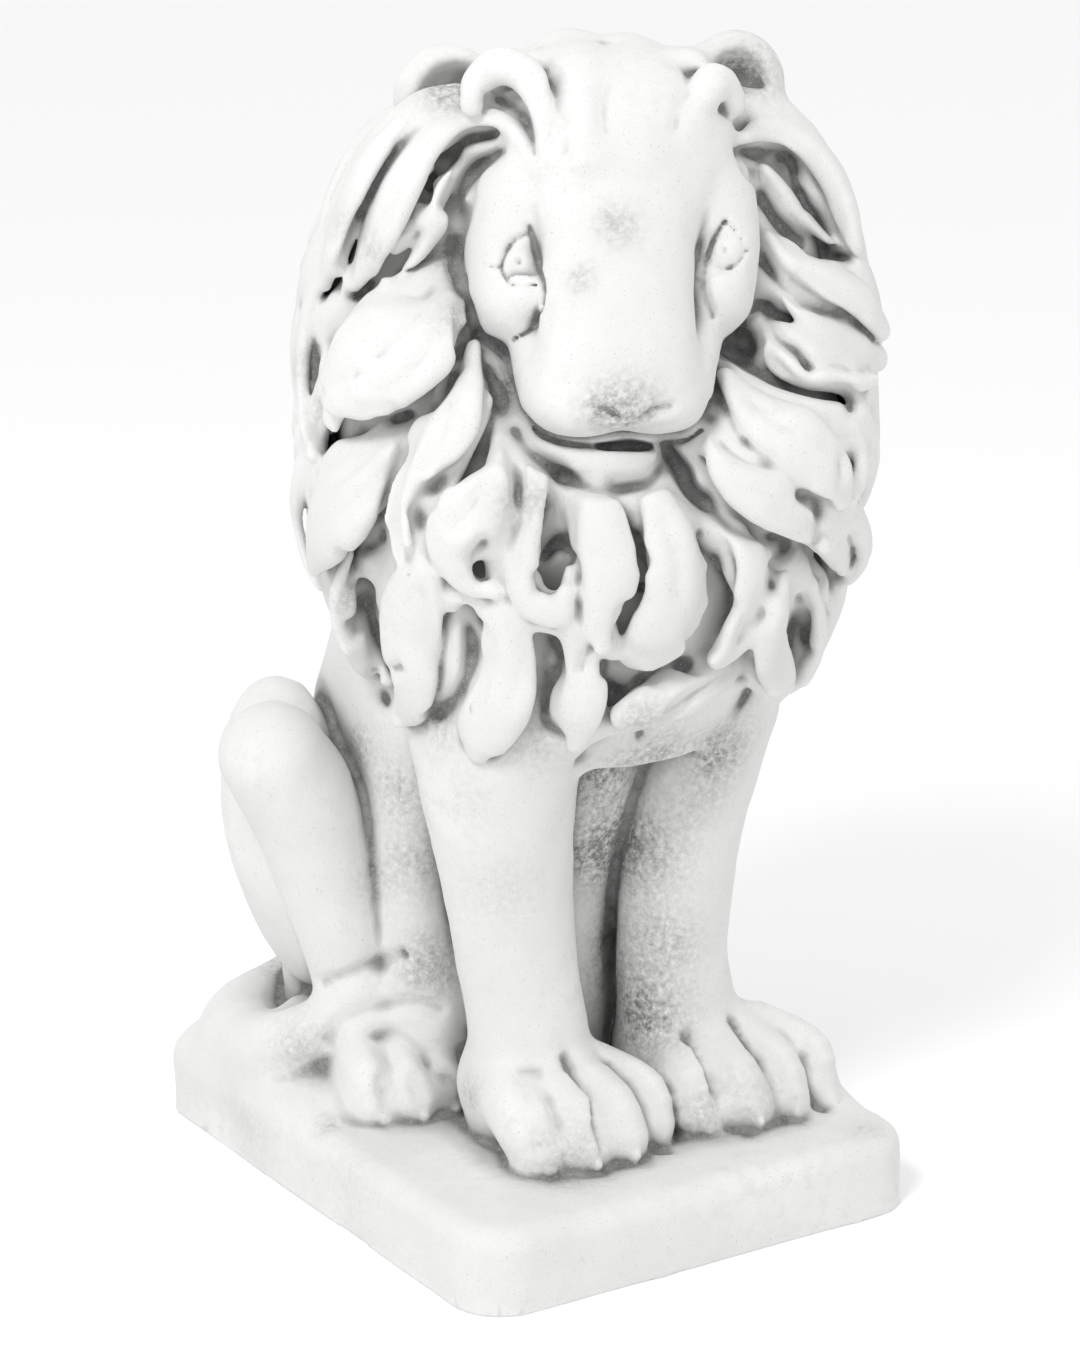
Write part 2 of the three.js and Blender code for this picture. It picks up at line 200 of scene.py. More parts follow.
def blurred(values, cells):
    """A box blur run twice along each axis."""
    for _ in range(2):
        for axis in range(3):
            pad = [(0, 0)] * 3
            pad[axis] = (cells + 1, cells)
            total = np.cumsum(np.pad(values, pad, mode="edge"), axis=axis, dtype=np.float32)
            upper = [slice(None)] * 3
            lower = [slice(None)] * 3
            upper[axis] = slice(2 * cells + 1, None)
            lower[axis] = slice(0, -2 * cells - 1)
            values = (total[tuple(upper)] - total[tuple(lower)]) / (2 * cells + 1)
    return values


def sampled(clay, values, stride, points):
    """Values of a coarser block at points in millimetres."""
    place = np.clip((points - clay.low) / (clay.step * stride), 0, np.array(values.shape) - 1)
    first = np.minimum(np.floor(place).astype(int), np.array(values.shape) - 2)
    part = place - first
    out = 0
    for corner in range(8):
        ways = np.array([corner & 1, corner >> 1 & 1, corner >> 2 & 1])
        weight = np.prod(np.where(ways, part, 1 - part), axis=1)
        i, j, k = (first + ways).T
        out = out + weight * values[i, j, k]
    return out


class Clay:
    """The block of distances. Below zero is inside the statue."""

    # Where over the plinth hollows are sunk, the least hollow, and the spread of the noise's knots.
    SINK_FROM, SINK_RAMP, SINK_LEAST = 8, 10, 0.03
    NOISE_SPREAD = 1.8

    def __init__(self, low, high, step):
        self.low = np.asarray(low, float)
        self.step = step
        self.size = np.ceil((np.asarray(high, float) - self.low) / step).astype(int) + 1
        self.gaps = np.full(self.size, FAR, np.float32)

    def window(self, low, high, margin):
        """The cells within a margin of a box: their slices, and their places along each axis."""
        first = np.clip(np.floor((low - margin - self.low) / self.step).astype(int), 0, self.size)
        last = np.clip(np.ceil((high + margin - self.low) / self.step).astype(int) + 1, 0, self.size)
        cells = tuple(slice(a, b) for a, b in zip(first, last))
        return cells, first, last

    def places(self, first, last):
        x, y, z = (
            (self.low[n] + self.step * np.arange(first[n], last[n])).astype(np.float32) for n in range(3)
        )
        return x[:, None, None], y[None, :, None], z[None, None, :]

    def measure(self, form, margin, low, high):
        """A form's distances over the window from low to high."""
        cells, first, last = self.window(low, high, margin)
        found = np.full(last - first, FAR, np.float32)
        nearest = np.full(last - first, np.inf, np.float32)
        for piece_low, piece_high, gap in form.pieces:
            _, a, b = self.window(piece_low, piece_high, margin)
            a, b = np.maximum(a, first), np.minimum(b, last)
            if (b <= a).any():
                continue
            part = tuple(slice(p - f, q - f) for p, q, f in zip(a, b, first))
            value, off_line = gap(self.places(a, b))
            nearer = off_line < nearest[part]
            found[part] = np.where(nearer, value, found[part])
            nearest[part] = np.where(nearer, off_line, nearest[part])
        return cells, found

    def join(self, form, blend=6.0, cuts=(), cut_blend=3.0):
        """Adds a form, after its own cuts are made in it."""
        margin = blend + 3 * self.step
        cells, found = self.measure(form, margin, form.low, form.high)
        for cut in cuts:
            _, gone = self.measure(cut, margin, form.low, form.high)
            found = -smooth_min(-found, gone, cut_blend)
        self.gaps[cells] = smooth_min(self.gaps[cells], found, blend)

    def carve(self, form, blend=4.0):
        margin = blend + 3 * self.step
        cells, found = self.measure(form, margin, form.low, form.high)
        self.gaps[cells] = -smooth_min(-self.gaps[cells], found, blend)

    def at(self, points):
        """The distances at points in millimetres."""
        return sampled(self, self.gaps, 1, points)

    def filled(self, stride):
        """How full of stone the cells are, from 0 to 1, one cell in each stride."""
        return np.clip(0.5 - self.gaps[::stride, ::stride, ::stride] / (2 * self.step), 0, 1)

    def deepen(self, radius, strength, most):
        """Sinks the surface where it is hollow, so that creases read as undercut."""
        cells = max(1, round(radius / self.step))
        flat = 0.5 - self.gaps / ((2 * cells + 1) * self.step)
        height = self.places((0, 0, 0), self.size)[2]
        above = np.clip((height - PLINTH["height"] - self.SINK_FROM) / self.SINK_RAMP, 0, 1)
        hollow = blurred(self.filled(1), cells) - flat - self.SINK_LEAST
        self.gaps += np.clip(hollow * strength, 0, most) * above

    def soften(self):
        """Rounds every edge over about two cells, as a worn mould does."""
        self.gaps = blurred(self.gaps, 1)

    def noise(self, spacing, seed):
        """Smooth noise over the whole block, about one in size."""
        rng = np.random.default_rng(seed)
        weights = []
        for count in self.size:
            knots = int(count * self.step / spacing) + 4
            place = np.arange(count) * self.step / spacing
            near = np.abs(place[:, None] + 1 - np.arange(knots)[None, :])
            inner = 2 / 3 - near**2 + near**3 / 2
            outer = np.clip(2 - near, 0, None) ** 3 / 6
            weights.append(np.where(near < 1, inner, outer).astype(np.float32))
        values = rng.normal(size=[w.shape[1] for w in weights]).astype(np.float32) * self.NOISE_SPREAD
        for n, w in enumerate(weights):
            values = np.moveaxis(np.tensordot(w, values, axes=(1, n)), 0, n)
        return values


# The mane's mass under its locks, by height: half width and half depth.
MANE_STATIONS = np.array(
    [
        [290, 82, 74], [330, 116, 98], [380, 136, 110], [430, 146, 119], [480, 151, 125],
        [540, 150, 130], [600, 134, 118], [650, 104, 94], [682, 66, 56], [697, 20, 18],
    ],
    float,
)
MANE_FOOT, MANE_TOP = 284, 697
# The box that holds it, and its least half width.
MANE_REACH, MANE_BOX_FOOT, MANE_BOX_TOP = 160, 280, 700
MANE_LEAST = 4
# Above the chest the mane falls back to a ruff, and the face stands out in front of it.
RUFF_FROM, RUFF_TO, RUFF_DEPTH = 455.0, 560.0, 0.45


def ruff(z):
    t = np.clip((z - RUFF_FROM) / (RUFF_TO - RUFF_FROM), 0, 1)
    return 1 - (1 - RUFF_DEPTH) * t * t * (3 - 2 * t)


def mane_size(z):
    heights, w, d = MANE_STATIONS.T
    return np.interp(z, heights, w), np.interp(z, heights, d)


def mane_surface(azimuth, z):
    """A point of the mane. The azimuth is 0 ahead of the face and grows to the lion's left."""
    w, d = mane_size(z)
    a = math.radians(azimuth)
    depth = d * (ruff(z) if math.cos(a) > 0 else 1)
    flat = LEFT * (w * math.sin(a)) + AHEAD * (depth * math.cos(a))
    return np.array([MANE[0], MANE[1], z]) + flat


def mane_normal(azimuth, z):
    along = mane_surface(azimuth + 3, z) - mane_surface(azimuth - 3, z)
    up = mane_surface(azimuth, z + 6) - mane_surface(azimuth, z - 6)
    return unit(np.cross(along, up))


def mane_core():
    low = np.array([MANE[0] - MANE_REACH, MANE[1] - MANE_REACH, MANE_BOX_FOOT])
    high = np.array([MANE[0] + MANE_REACH, MANE[1] + MANE_REACH, MANE_BOX_TOP])

    def gap(points):
        x, y, z = points
        centre = (MANE[0], MANE[1], 0)
        s = axis_place((x, y, 0), centre, LEFT)
        f = axis_place((x, y, 0), centre, AHEAD)
        w, d = mane_size(z)
        d = np.where(f > 0, d * ruff(z), d)
        ring = oval_gap(s, f, 0, (np.maximum(w, MANE_LEAST), np.maximum(d, MANE_LEAST), 1.0))
        return np.maximum(ring, np.maximum(MANE_FOOT - z, z - MANE_TOP)), 0.0

    return Form([(low, high, gap)])


def in_head(left, ahead, up):
    """A place in the head's own frame: millimetres to the lion's left, ahead and up. The muzzle
    drifts a little to the lion's right."""
    left = left - MUZZLE_DRIFT * max(0.0, ahead - DRIFT_FROM)
    return HEAD + LEFT * left + AHEAD * ahead + Z_AXIS * up


def line_of_sight(px, py):
    right = VIEW_RIGHT * (px - PHOTO_WIDTH / 2) / FOCAL
    down = VIEW_UP * (py - PHOTO_HEIGHT / 2) / FOCAL
    return unit(right - down - VIEW_BACK)


def seen(clay, px, py):
    """Where a pixel of the photograph lies on the clay, and how far from the eye that is. Beside the
    statue it is the place that comes nearest, and far beside it there is none, given as NaN."""
    way = line_of_sight(px, py)
    reach = np.arange(AWAY - SIGHT_RANGE, AWAY + SIGHT_RANGE)
    gaps = clay.at(EYE + way * reach[:, None])
    if gaps.min() > NEAR_MISS:
        return EYE * math.nan, math.nan
    n = int(np.argmax(gaps < 0)) if gaps.min() < 0 else int(np.argmin(gaps))
    return EYE + way * reach[n], reach[n]


def seen_run(clay, rows, window):
    """Where a line of the photograph lies on the clay, with its distances from the eye evened out."""
    away = np.array([seen(clay, px, py)[1] for px, py, _ in rows])
    met = np.isfinite(away)
    order = np.arange(len(rows))
    away = np.interp(order, order[met], away[met])
    if len(rows) > window:
        away = np.convolve(np.pad(away, window // 2, mode="edge"), np.full(window, 1 / window), mode="valid")
    sights = np.array([line_of_sight(px, py) for px, py, _ in rows])
    return EYE + sights * away[:, None], away


def bead(centre, across, deep):
    """A blob of round section to the eye, and of its own depth along the line of sight."""
    reach = max(across, deep)

    def gap(points):
        places = [axis_place(points, centre, way) for way in (VIEW_RIGHT, VIEW_UP, VIEW_BACK)]
        off_line = np.sqrt(places[0] ** 2 + places[1] ** 2)
        return oval_gap(*places, (across, across, deep)), off_line

    return centre - reach, centre + reach, gap


def pixels_long(stations):
    return sum(math.dist(a[:2], b[:2]) for a, b in zip(stations, stations[1:]))


def half_width(pixels, away):
    """Half of a width in the photograph, in millimetres at a distance from the eye."""
    return pixels * 0.5 * away / FOCAL


# The beads' pitch as a share of their width, and how many distances are evened out.
BEAD_PITCH, BEAD_EVENING = 0.2, 7


def seen_line(clay, stations, deep, sink=0.0):
    """Beads along a line of the photograph, from stations of [pixel x, pixel y, pixels wide]."""
    rows = stations
    if len(stations) > 1:
        pitch = BEAD_PITCH * np.mean([row[2] for row in stations])
        rows = spline(stations, max(2, round(pixels_long(stations) / pitch) + 1))
    places, away = seen_run(clay, rows, BEAD_EVENING)
    across = [half_width(row[2], reach) for row, reach in zip(rows, away)]
    return Form([bead(place - VIEW_BACK * sink, wide, deep) for place, wide in zip(places, across)])


def carve_line(clay, line, deep, blend, times=1.0, sink=0.0):
    """Cuts along a line of the photograph that is made so many times as wide."""
    wider = [[px, py, wide * times] for px, py, wide in line]
    clay.carve(seen_line(clay, wider, deep, sink), blend)


# A lock on the mane: stations, its outline's share of a half sine, depth, and how its root is sunk.
LEAF_STATIONS, LEAF_ROOT, LEAF_RUN = 14, 0.14, 0.80
LEAF_DEPTH, LEAF_STAND, LEAF_FULL = 12.24, 2.04, 17
ROOT_DROP, SWELL_DROP, CREST = 6.0, 7.0, 0.7
GROOVE_SWAY, GROOVE_CLOSING, GROOVE_LIFT = 0.16, 0.55, 1.02
GROOVE_WIDTH, GROOVE_SWELL, GROOVE_DEPTH = 1.4, 1.6, 1.35
# A lock of the photograph: pixels between stations, depth, and how it lies on the surface.
LOCK_FEWEST, LOCK_PITCH, LOCK_EVENING = 8, 11, 5
LOCK_LEAST, LOCK_ROUND = 3.0, 0.34
LOCK_SUNK, LOCK_RISE, LOCK_STAND = 0.25, 0.3, 1.0


def lock_ways(centres, ways):
    """The ways out of a lock and across it, from its centres and the ways out of what carries it."""
    along = np.gradient(centres, axis=0)
    wide = crossed(along, ways)
    return crossed(wide, along), wide


def lock_line(path, lift):
    """The middle of a lock: its centres, the way out and the way across, from root to tip."""
    course = spline(path, LEAF_STATIONS)
    ways = [mane_normal(azimuth, z) for azimuth, z in course]
    centres = []
    for n, (azimuth, z) in enumerate(course):
        t = n / (LEAF_STATIONS - 1)
        rise = -ROOT_DROP + (lift + ROOT_DROP) * math.sin(math.pi * min(0.5, t * CREST))
        centres.append(mane_surface(azimuth, z) + ways[n] * rise)
    centres = np.array(centres)
    return centres, *lock_ways(centres, ways)


def lay_leaf(clay, middles, out, wide, widths, depths, grooves=(), blend=3.0):
    """A lock of hair: an oval run, with winding grooves along it."""
    t = np.linspace(0, 1, len(middles))
    grooved = slice(2, len(middles) - 1)
    cuts = []
    for n, place in enumerate(grooves):
        swing = GROOVE_SWAY * np.sin(2 * math.pi * (t - 0.1) + n)
        across = (place + swing) * (1 - GROOVE_CLOSING * t**3)
        top = np.sqrt(np.clip(1 - across**2, 0, 1))
        line = middles + wide * (across * widths)[:, None] + out * (top * depths * GROOVE_LIFT)[:, None]
        bite = (GROOVE_WIDTH + GROOVE_SWELL * np.sin(math.pi * t))[grooved]
        cuts.append(tube(line[grooved], bite, bite * GROOVE_DEPTH, wide[grooved]))
    clay.join(tube(middles, widths, depths, wide), blend, cuts)


def lay_leaf_on_mane(clay, path, width, lift, grooves, blend=3.0):
    """A lock laid by its path over the mane's mass, as [azimuth, height] from root to tip."""
    centres, out, wide = lock_line(path, lift)
    leaf = np.sqrt(np.sin(math.pi * (LEAF_ROOT + LEAF_RUN * np.linspace(0, 1, LEAF_STATIONS))))
    depths = LEAF_DEPTH * min(1, width / LEAF_FULL) * leaf
    lay_leaf(clay, centres + out * LEAF_STAND, out, wide, width * leaf, depths, grooves, blend)


def outward(point):
    """The way out of the mane at a point: level round its sides, and upward over the crown."""
    return unit(point - np.array([MANE[0], MANE[1], min(point[2], HEAD[2])]))


def lay_lock(clay, stations):
    """A lock that the photograph shows, laid over the clay, from [pixel x, pixel y, pixels wide]."""
    count = max(LOCK_FEWEST, round(pixels_long(stations) / LOCK_PITCH))
    rows = spline(stations, count)
    skin, away = seen_run(clay, rows, LOCK_EVENING)
    widths = half_width(rows[:, 2], away)
    depths = LOCK_LEAST + LOCK_ROUND * widths
    rise = depths * (LOCK_RISE * np.linspace(0, 1, count) - LOCK_SUNK) + LOCK_STAND
    ways = np.array([outward(p) for p in skin])
    middles = skin + ways * rise[:, None]
    lay_leaf(clay, middles, *lock_ways(middles, ways), widths, depths)


# The locks in the photograph from the lowest up, each as stations from root to tip:
# [pixel x, pixel y, pixels wide].
CHEST_LOCKS = [
    [[400, 128, 22], [372, 162, 40], [349, 208, 42], [336, 252, 32], [328, 286, 14]],
    [[318, 284, 26], [307, 330, 34], [305, 380, 38], [310, 428, 28], [316, 456, 12]],
    [[302, 462, 20], [298, 508, 26], [306, 550, 22], [322, 588, 12]],
    [[350, 548, 24], [338, 585, 26], [338, 620, 20], [350, 652, 10]],
    [[812, 583, 18], [818, 618, 30], [813, 650, 28], [800, 682, 12]],
    [[784, 572, 20], [776, 612, 42], [766, 650, 46], [772, 688, 24]],
    [[735, 668, 14], [694, 687, 30], [652, 702, 42], [616, 716, 32]],
    [[570, 622, 26], [586, 668, 40], [582, 708, 50], [574, 746, 24]],
    [[508, 606, 44], [503, 655, 72], [494, 700, 86], [482, 738, 60], [478, 752, 30]],
    [[424, 566, 50], [414, 612, 88], [412, 655, 84], [416, 695, 60], [402, 718, 22]],
    [[838, 498, 16], [856, 520, 36], [862, 548, 36], [848, 574, 26], [834, 584, 12]],
    [[850, 424, 10], [859, 455, 20], [857, 484, 22], [848, 502, 12]],
    [[726, 518, 30], [750, 556, 44], [747, 598, 48], [726, 636, 38], [712, 660, 16]],
    [[655, 498, 40], [668, 540, 58], [672, 590, 58], [655, 632, 60], [630, 656, 36]],
    [[598, 488, 40], [604, 530, 58], [610, 572, 60], [604, 612, 46], [600, 646, 26]],
    [[542, 478, 20], [528, 520, 32], [521, 560, 38], [530, 598, 38], [556, 610, 36], [566, 592, 20]],
    [[396, 444, 20], [372, 474, 58], [346, 505, 88], [326, 535, 72], [318, 566, 36]],
    [[472, 346, 20], [464, 390, 46], [450, 430, 64], [428, 470, 48], [411, 510, 28], [410, 544, 20]],
    [[506, 420, 16], [500, 460, 42], [474, 500, 78], [456, 540, 78], [470, 576, 50], [498, 592, 22]],
    [[722, 375, 30], [755, 410, 66], [795, 445, 84], [830, 476, 62], [838, 502, 34]],
    [[710, 428, 20], [730, 465, 52], [765, 495, 66], [800, 522, 46], [824, 548, 22]],
    [[456, 300, 34], [430, 325, 100], [395, 350, 126], [360, 376, 112], [334, 396, 60]],
    [[766, 314, 10], [782, 352, 26], [812, 374, 30], [850, 384, 26], [872, 380, 16]],
    [[774, 274, 10], [796, 308, 36], [830, 334, 50], [858, 350, 48], [876, 358, 30]],
    [[764, 234, 12], [786, 260, 26], [822, 280, 46], [858, 302, 50], [878, 330, 34]],
]
TEMPLE_LOCKS = [
    [[484, 150, 6], [458, 164, 12], [442, 185, 15], [436, 206, 8]],
    [[754, 158, 8], [775, 182, 24], [800, 214, 28], [826, 240, 20], [850, 256, 8]],
    [[530, 150, 10], [502, 121, 24], [463, 122, 32], [426, 148, 46], [398, 190, 66], [378, 235, 64],
     [358, 274, 36], [350, 290, 16]],
    [[735, 142, 12], [765, 130, 32], [800, 140, 52], [828, 175, 62], [843, 215, 52], [852, 250, 22]],
]

# The swells of the mane under the locks of the sides and chest, from the brow down: the path from root
# to tip as [azimuth, height], half the width, and how far it stands off.
SWELLS = [
    ([[-25, 652], [-55, 651], [-71, 617], [-72, 570]], 25, 18),
    ([[-37, 640], [-42, 618], [-47, 599], [-56, 570]], 14, 16),
    ([[40, 648], [84, 642], [90, 609], [86, 570]], 24, 16),
    ([[-34, 568], [-44, 544], [-58, 518], [-71, 488]], 31, 20),
    ([[40, 574], [58, 555], [82, 530], [86, 496]], 25, 20),
    ([[34, 540], [43, 521], [57, 507], [80, 492]], 20, 20),
    ([[-76, 560], [-95, 527], [-98, 494], [-96, 460]], 17, 12),
    ([[-30, 528], [-37, 492], [-45, 451], [-41, 412], [-29, 396]], 24, 20),
    ([[-24, 493], [-26, 463], [-31, 438], [-42, 420]], 17, 24),
    ([[19, 500], [30, 472], [48, 444], [72, 400]], 31, 22),
    ([[28, 516], [41, 494], [64, 472], [80, 436]], 21, 20),
    ([[-50, 482], [-68, 455], [-90, 418], [-84, 386]], 27, 15),
    ([[66, 440], [82, 415], [84, 392], [78, 376]], 18, 14),
    ([[-20, 482], [-25, 441], [-23, 402], [-11, 390]], 18, 18),
    ([[-8, 461], [-6, 424], [-9, 392], [-3, 368]], 18, 17),
    ([[1, 462], [10, 428], [13, 390], [5, 362]], 20, 18),
    ([[14, 447], [28, 417], [33, 386], [24, 357]], 18, 16),
    ([[42, 410], [37, 386], [43, 358], [62, 322]], 15, 14),
    ([[47, 401], [74, 370], [80, 342], [70, 316]], 19, 12),
    ([[-51, 407], [-43, 377], [-54, 337], [-80, 300]], 25, 13),
    ([[-74, 409], [-93, 374], [-94, 350], [-90, 328]], 15, 12),
    ([[-24, 388], [-32, 352], [-42, 323], [-62, 286]], 21, 12),
    ([[-11, 375], [-10, 344], [-14, 321], [-20, 298]], 19, 12),
    ([[34, 347], [21, 339], [8, 332], [-6, 318]], 17, 10),
    ([[36, 361], [54, 336], [66, 306]], 16, 10),
]

# The rows round the back: height of the roots, drop, first and last azimuth, count, half width.
BACK_ROWS = [
    (672, 84, 100, 252, 5, 24),
    (626, 92, 88, 260, 7, 28),
    (576, 96, 100, 256, 6, 32),
    (524, 98, 86, 264, 7, 32),
    (470, 96, 98, 256, 6, 33),
    (418, 92, 84, 264, 8, 29),
]


def lay_mane(clay):
    clay.join(mane_core(), 14)
    for row, (z, drop, first, last, count, width) in reversed(list(enumerate(BACK_ROWS))):
        sway = 6 if row % 2 else -6
        for azimuth in np.linspace(first, last, count):
            path = [
                [azimuth, z], [azimuth + sway, z - drop * 0.35],
                [azimuth - sway * 0.2, z - drop * 0.7], [azimuth - sway * 1.4, z - drop],
            ]
            lay_leaf_on_mane(clay, path, width, 12, (-0.5, -0.05, 0.42))
    for path, width, lift in reversed(SWELLS):
        lay_leaf_on_mane(clay, path, width, lift - SWELL_DROP, (), 9)
    for stations in CHEST_LOCKS:
        lay_lock(clay, stations)


def rounded(a, b, radius):
    """The distance to a corner between two sides that is rounded off."""
    return np.hypot(np.maximum(a, 0), np.maximum(b, 0)) + np.minimum(np.maximum(a, b), 0) - radius


def lay_plinth(clay):
    """The rounded slab, a little uneven as the mould left it."""
    half = np.array([PLINTH["width"] / 2, PLINTH["length"] / 2])
    corner, edge, top = PLINTH["corner"], PLINTH["edge"], PLINTH["height"]

    def gap(points):
        x, y, z = points
        plan = rounded(np.abs(x) - (half[0] - corner), np.abs(y) - (half[1] - corner), corner)
        return rounded(plan + edge, z - top + edge, edge), 0.0

    clay.join(Form([(np.array([*-half, -4]), np.array([*half, top]), gap)]), 9)


def lay_body(clay):
    trunk = [
        [-8, 118, 95, 92, 78], [-5, 100, 200, 96, 82], [2, 55, 310, 100, 88],
        [10, -5, 400, 108, 96], [12, -45, 490, 100, 90], [13, -55, 570, 86, 80],
    ]
    belly = [[4, 30, 50, 66, 78], [6, 18, 180, 66, 74], [10, -20, 330, 84, 80]]
    clay.join(limb(trunk, count=16), 8)
    clay.join(limb(belly, count=8), 12)
    flank = [[-52, 34, 330, 32, 44], [-76, 42, 220, 30, 50], [-66, 34, 90, 34, 50]]
    clay.join(limb(flank, count=10), 16)


def lay_foreleg(clay, side):
    top, elbow, wrist, ankle = (-62, -58, -46, -41) if side < 0 else (84, 68, 64, 67)
    stations = [
        [top, -58, 350, 50, 62], [top, -62, 310, 49, 60], [elbow, -65, 230, 41, 44],
        [wrist, -66, 150, 36, 34], [ankle, -68, 110, 38, 34], [ankle, -72, 70, 40, 36],
    ]
    clay.join(limb(stations, count=14), 8)


def lay_hindleg(clay, side):
    thigh, knee, shin, ankle, lean = (-103, -148, -118, -100, -10) if side < 0 else (92, 116, 100, 94, 8)
    clay.join(ball([thigh, 98, 200], [42, 66, 108], lean=lean), 10)
    shank = [
        [knee, 52, 272, 31, 38], [shin, 46, 215, 37, 34],
        [ankle, 42, 128, 27, 30], [ankle, 48, 90, 26, 30],
    ]
    clay.join(limb(shank, count=12), 7)
    foot = [[ankle, 95, 74, 27, 24], [ankle + 8, 50, 78, 33, 26]]
    clay.join(limb(foot, count=4), 8)


def lay_paw(clay, x, y, width, length, height, splay):
    """A broad soft paw: a rounded back that falls into four low toes, each with a small blunt claw."""
    toes = 4
    pitch = width / toes
    base = PLINTH["height"]
    back = [
        [x - splay * 0.2, y + 6, base + height * 0.52, width * 0.40, height * 0.60],
        [x, y - length * 0.36, base + height * 0.48, width * 0.47, height * 0.50],
        [x + splay * 0.4, y - length * 0.74, base + height * 0.22, width * 0.48, height * 0.32],
    ]
    clay.join(limb(back, count=6), 12)
    for n in range(toes):
        across = n - (toes - 1) / 2
        reach = length * (1 - 0.06 * across * across)
        tip = x + splay * 0.5 + across * pitch
        toe = [
            [x + across * pitch * 0.78, y - reach * 0.32, base + height * 0.62, pitch * 0.56, height * 0.34],
            [tip, y - reach * 0.68, base + height * 0.44, pitch * 0.58, height * 0.36],
            [tip, y - reach + pitch * 0.52, base + height * 0.20, pitch * 0.56, height * 0.28],
        ]
        clay.join(limb(toe, count=7), 6)
        claw = [
            [tip, y - reach + 7, base + height * 0.20, 4.4, 4.6],
            [tip, y - reach - 1, base + height * 0.10, 3.2, 3.8],
        ]
        clay.join(limb(claw, count=3), 3.0)


def lay_tail(clay):
    """The tail lies round the haunch on the plinth, and sinks into it in a soft swell."""
    stations = [
        [-10, 168, 86, 32, 28], [-72, 184, 62, 26, 24], [-118, 160, 60, 25, 24],
        [-134, 112, 64, 23, 24], [-134, 66, 80, 20, 22], [-112, 34, 102, 18, 19],
        [-76, 16, 114, 18, 18], [-44, 10, 112, 18, 18],
    ]
    clay.join(limb(stations, Z_AXIS, 30), 9)
    clay.join(ball([-98, 138, 42], [58, 66, 26]), 20)
    clay.join(ball([-122, 62, 44], [36, 66, 26]), 18)
    clay.join(ball([128, -84, 42], [34, 62, 20]), 20)


def head_run(stations, count=10, across=LEFT):
    """A limb from stations of [left, ahead, up, half width, half depth] in the head's frame."""
    return limb([[*in_head(*row[:3]), *row[3:]] for row in stations], across, count)


def lay_head(clay):
    """Skull, brow, long broad muzzle, lips, chin and cheeks."""
    clay.join(head_ball((0, 0, 12), [84, 78, 82]), 10)
    clay.join(head_ball((0, 32, 34), [70, 50, 52]), 16)
    clay.join(head_ball((2, 28, 42), [62, 50, 47]), 12)
    clay.join(head_ball((0, -6, -44), [66, 60, 56]), 10)
    muzzle = [[0, 18, 40, 48, 38], [0, 60, -4, 46, 37], [0, 88, -46, 44, 34], [0, 102, -78, 46, 32]]
    clay.join(head_run(muzzle), 14)
    jaw = [
        [-46, 50, -98, 12, 15], [-34, 86, -118, 14, 14], [-8, 100, -122, 16, 14],
        [14, 92, -119, 14, 14], [26, 56, -104, 12, 15],
    ]
    clay.join(head_run(jaw, 14, Z_AXIS), 7)
    for side in (-1, 1):
        cheek = [[side * 56, 30, 8, 27, 38], [side * 58, 42, -20, 26, 32], [side * 56, 50, -42, 22, 24]]
        clay.join(head_run(cheek, 8), 8)
    for side in (-1, 1):
        clay.join(head_ball((side * 55, 60, -38), [24, 25, 24]), 10)
        clay.join(head_run([[side * 40, 56, -58, 23, 26], [side * 33, 92, -88, 22, 22]], 5), 8)
        clay.join(head_ball((side * 22, 106, -92), [25, 24, 18]), 8)
    clay.join(head_ball((-2, 124, -90), [24, 12, 11]), 7)


# Places on the face in the photograph: [pixel x, pixel y, pixels wide].
EYES = [
    {
        "ball": [519, 263, 30],
        "lid": [[528, 234, 5], [515, 240, 5], [506, 252, 5], [502, 267, 5], [507, 280, 5], [519, 287, 5],
                [537, 285, 5]],
        "inner": [[529, 226, 6], [535, 246, 6], [540, 266, 6], [544, 286, 7], [544, 304, 7], [540, 320, 7],
                  [530, 331, 6], [514, 339, 5]],
        "corner": [[483, 263, 4], [492, 267, 5], [502, 268, 4]],
        "pupil": [[519, 262, 7]],
    },
    {
        "ball": [725, 251, 27],
        "lid": [[725, 222, 4], [734, 230, 4], [742, 241, 4], [744, 254, 4], [738, 263, 5], [725, 269, 5],
                [711, 272, 5]],
        "inner": [[725, 221, 5], [716, 236, 6], [709, 253, 6], [705, 272, 7], [704, 290, 8], [708, 305, 9],
                  [714, 317, 7]],
        "corner": [[744, 250, 4], [750, 252, 4]],
        "pupil": [[724, 250, 7]],
    },
]
# How deep and how softly each line of an eye is cut.
EYE_CUTS = {"lid": (2.2, 1.2), "inner": (3.0, 1.6), "corner": (1.6, 1.5), "pupil": (2.4, 1.0)}
# The socket's rim in pixels, the eyeball's depth, and its size as shares of its pixels.
SOCKET_RIM = 10
EYE_DEPTH, EYE_SUNK, EYE_WIDTH, EYE_HEIGHT = 7.0, 4.5, 0.28, 0.33
NOSTRILS = [
    [[592, 406, 10], [603, 411, 15], [616, 420, 11]],
    [[672, 407, 10], [656, 413, 15], [641, 422, 11]],
]
PHILTRUM = [[628, 425, 7], [627, 435, 6], [626, 443, 5]]
MOUTH = [
    [529, 422, 4], [540, 434, 5], [556, 441, 6], [578, 445, 6], [600, 446, 6], [625, 446, 6],
    [648, 446, 6], [664, 444, 5], [686, 440, 4], [702, 430, 4],
]
MOUTH_OPENING = [[598, 446, 6], [612, 446, 10], [630, 445, 11], [650, 446, 7]]
CHEEK_FOLDS = [[[476, 332, 7], [492, 345, 8], [505, 356, 6]], [[757, 305, 6], [742, 326, 7], [726, 343, 6]]]
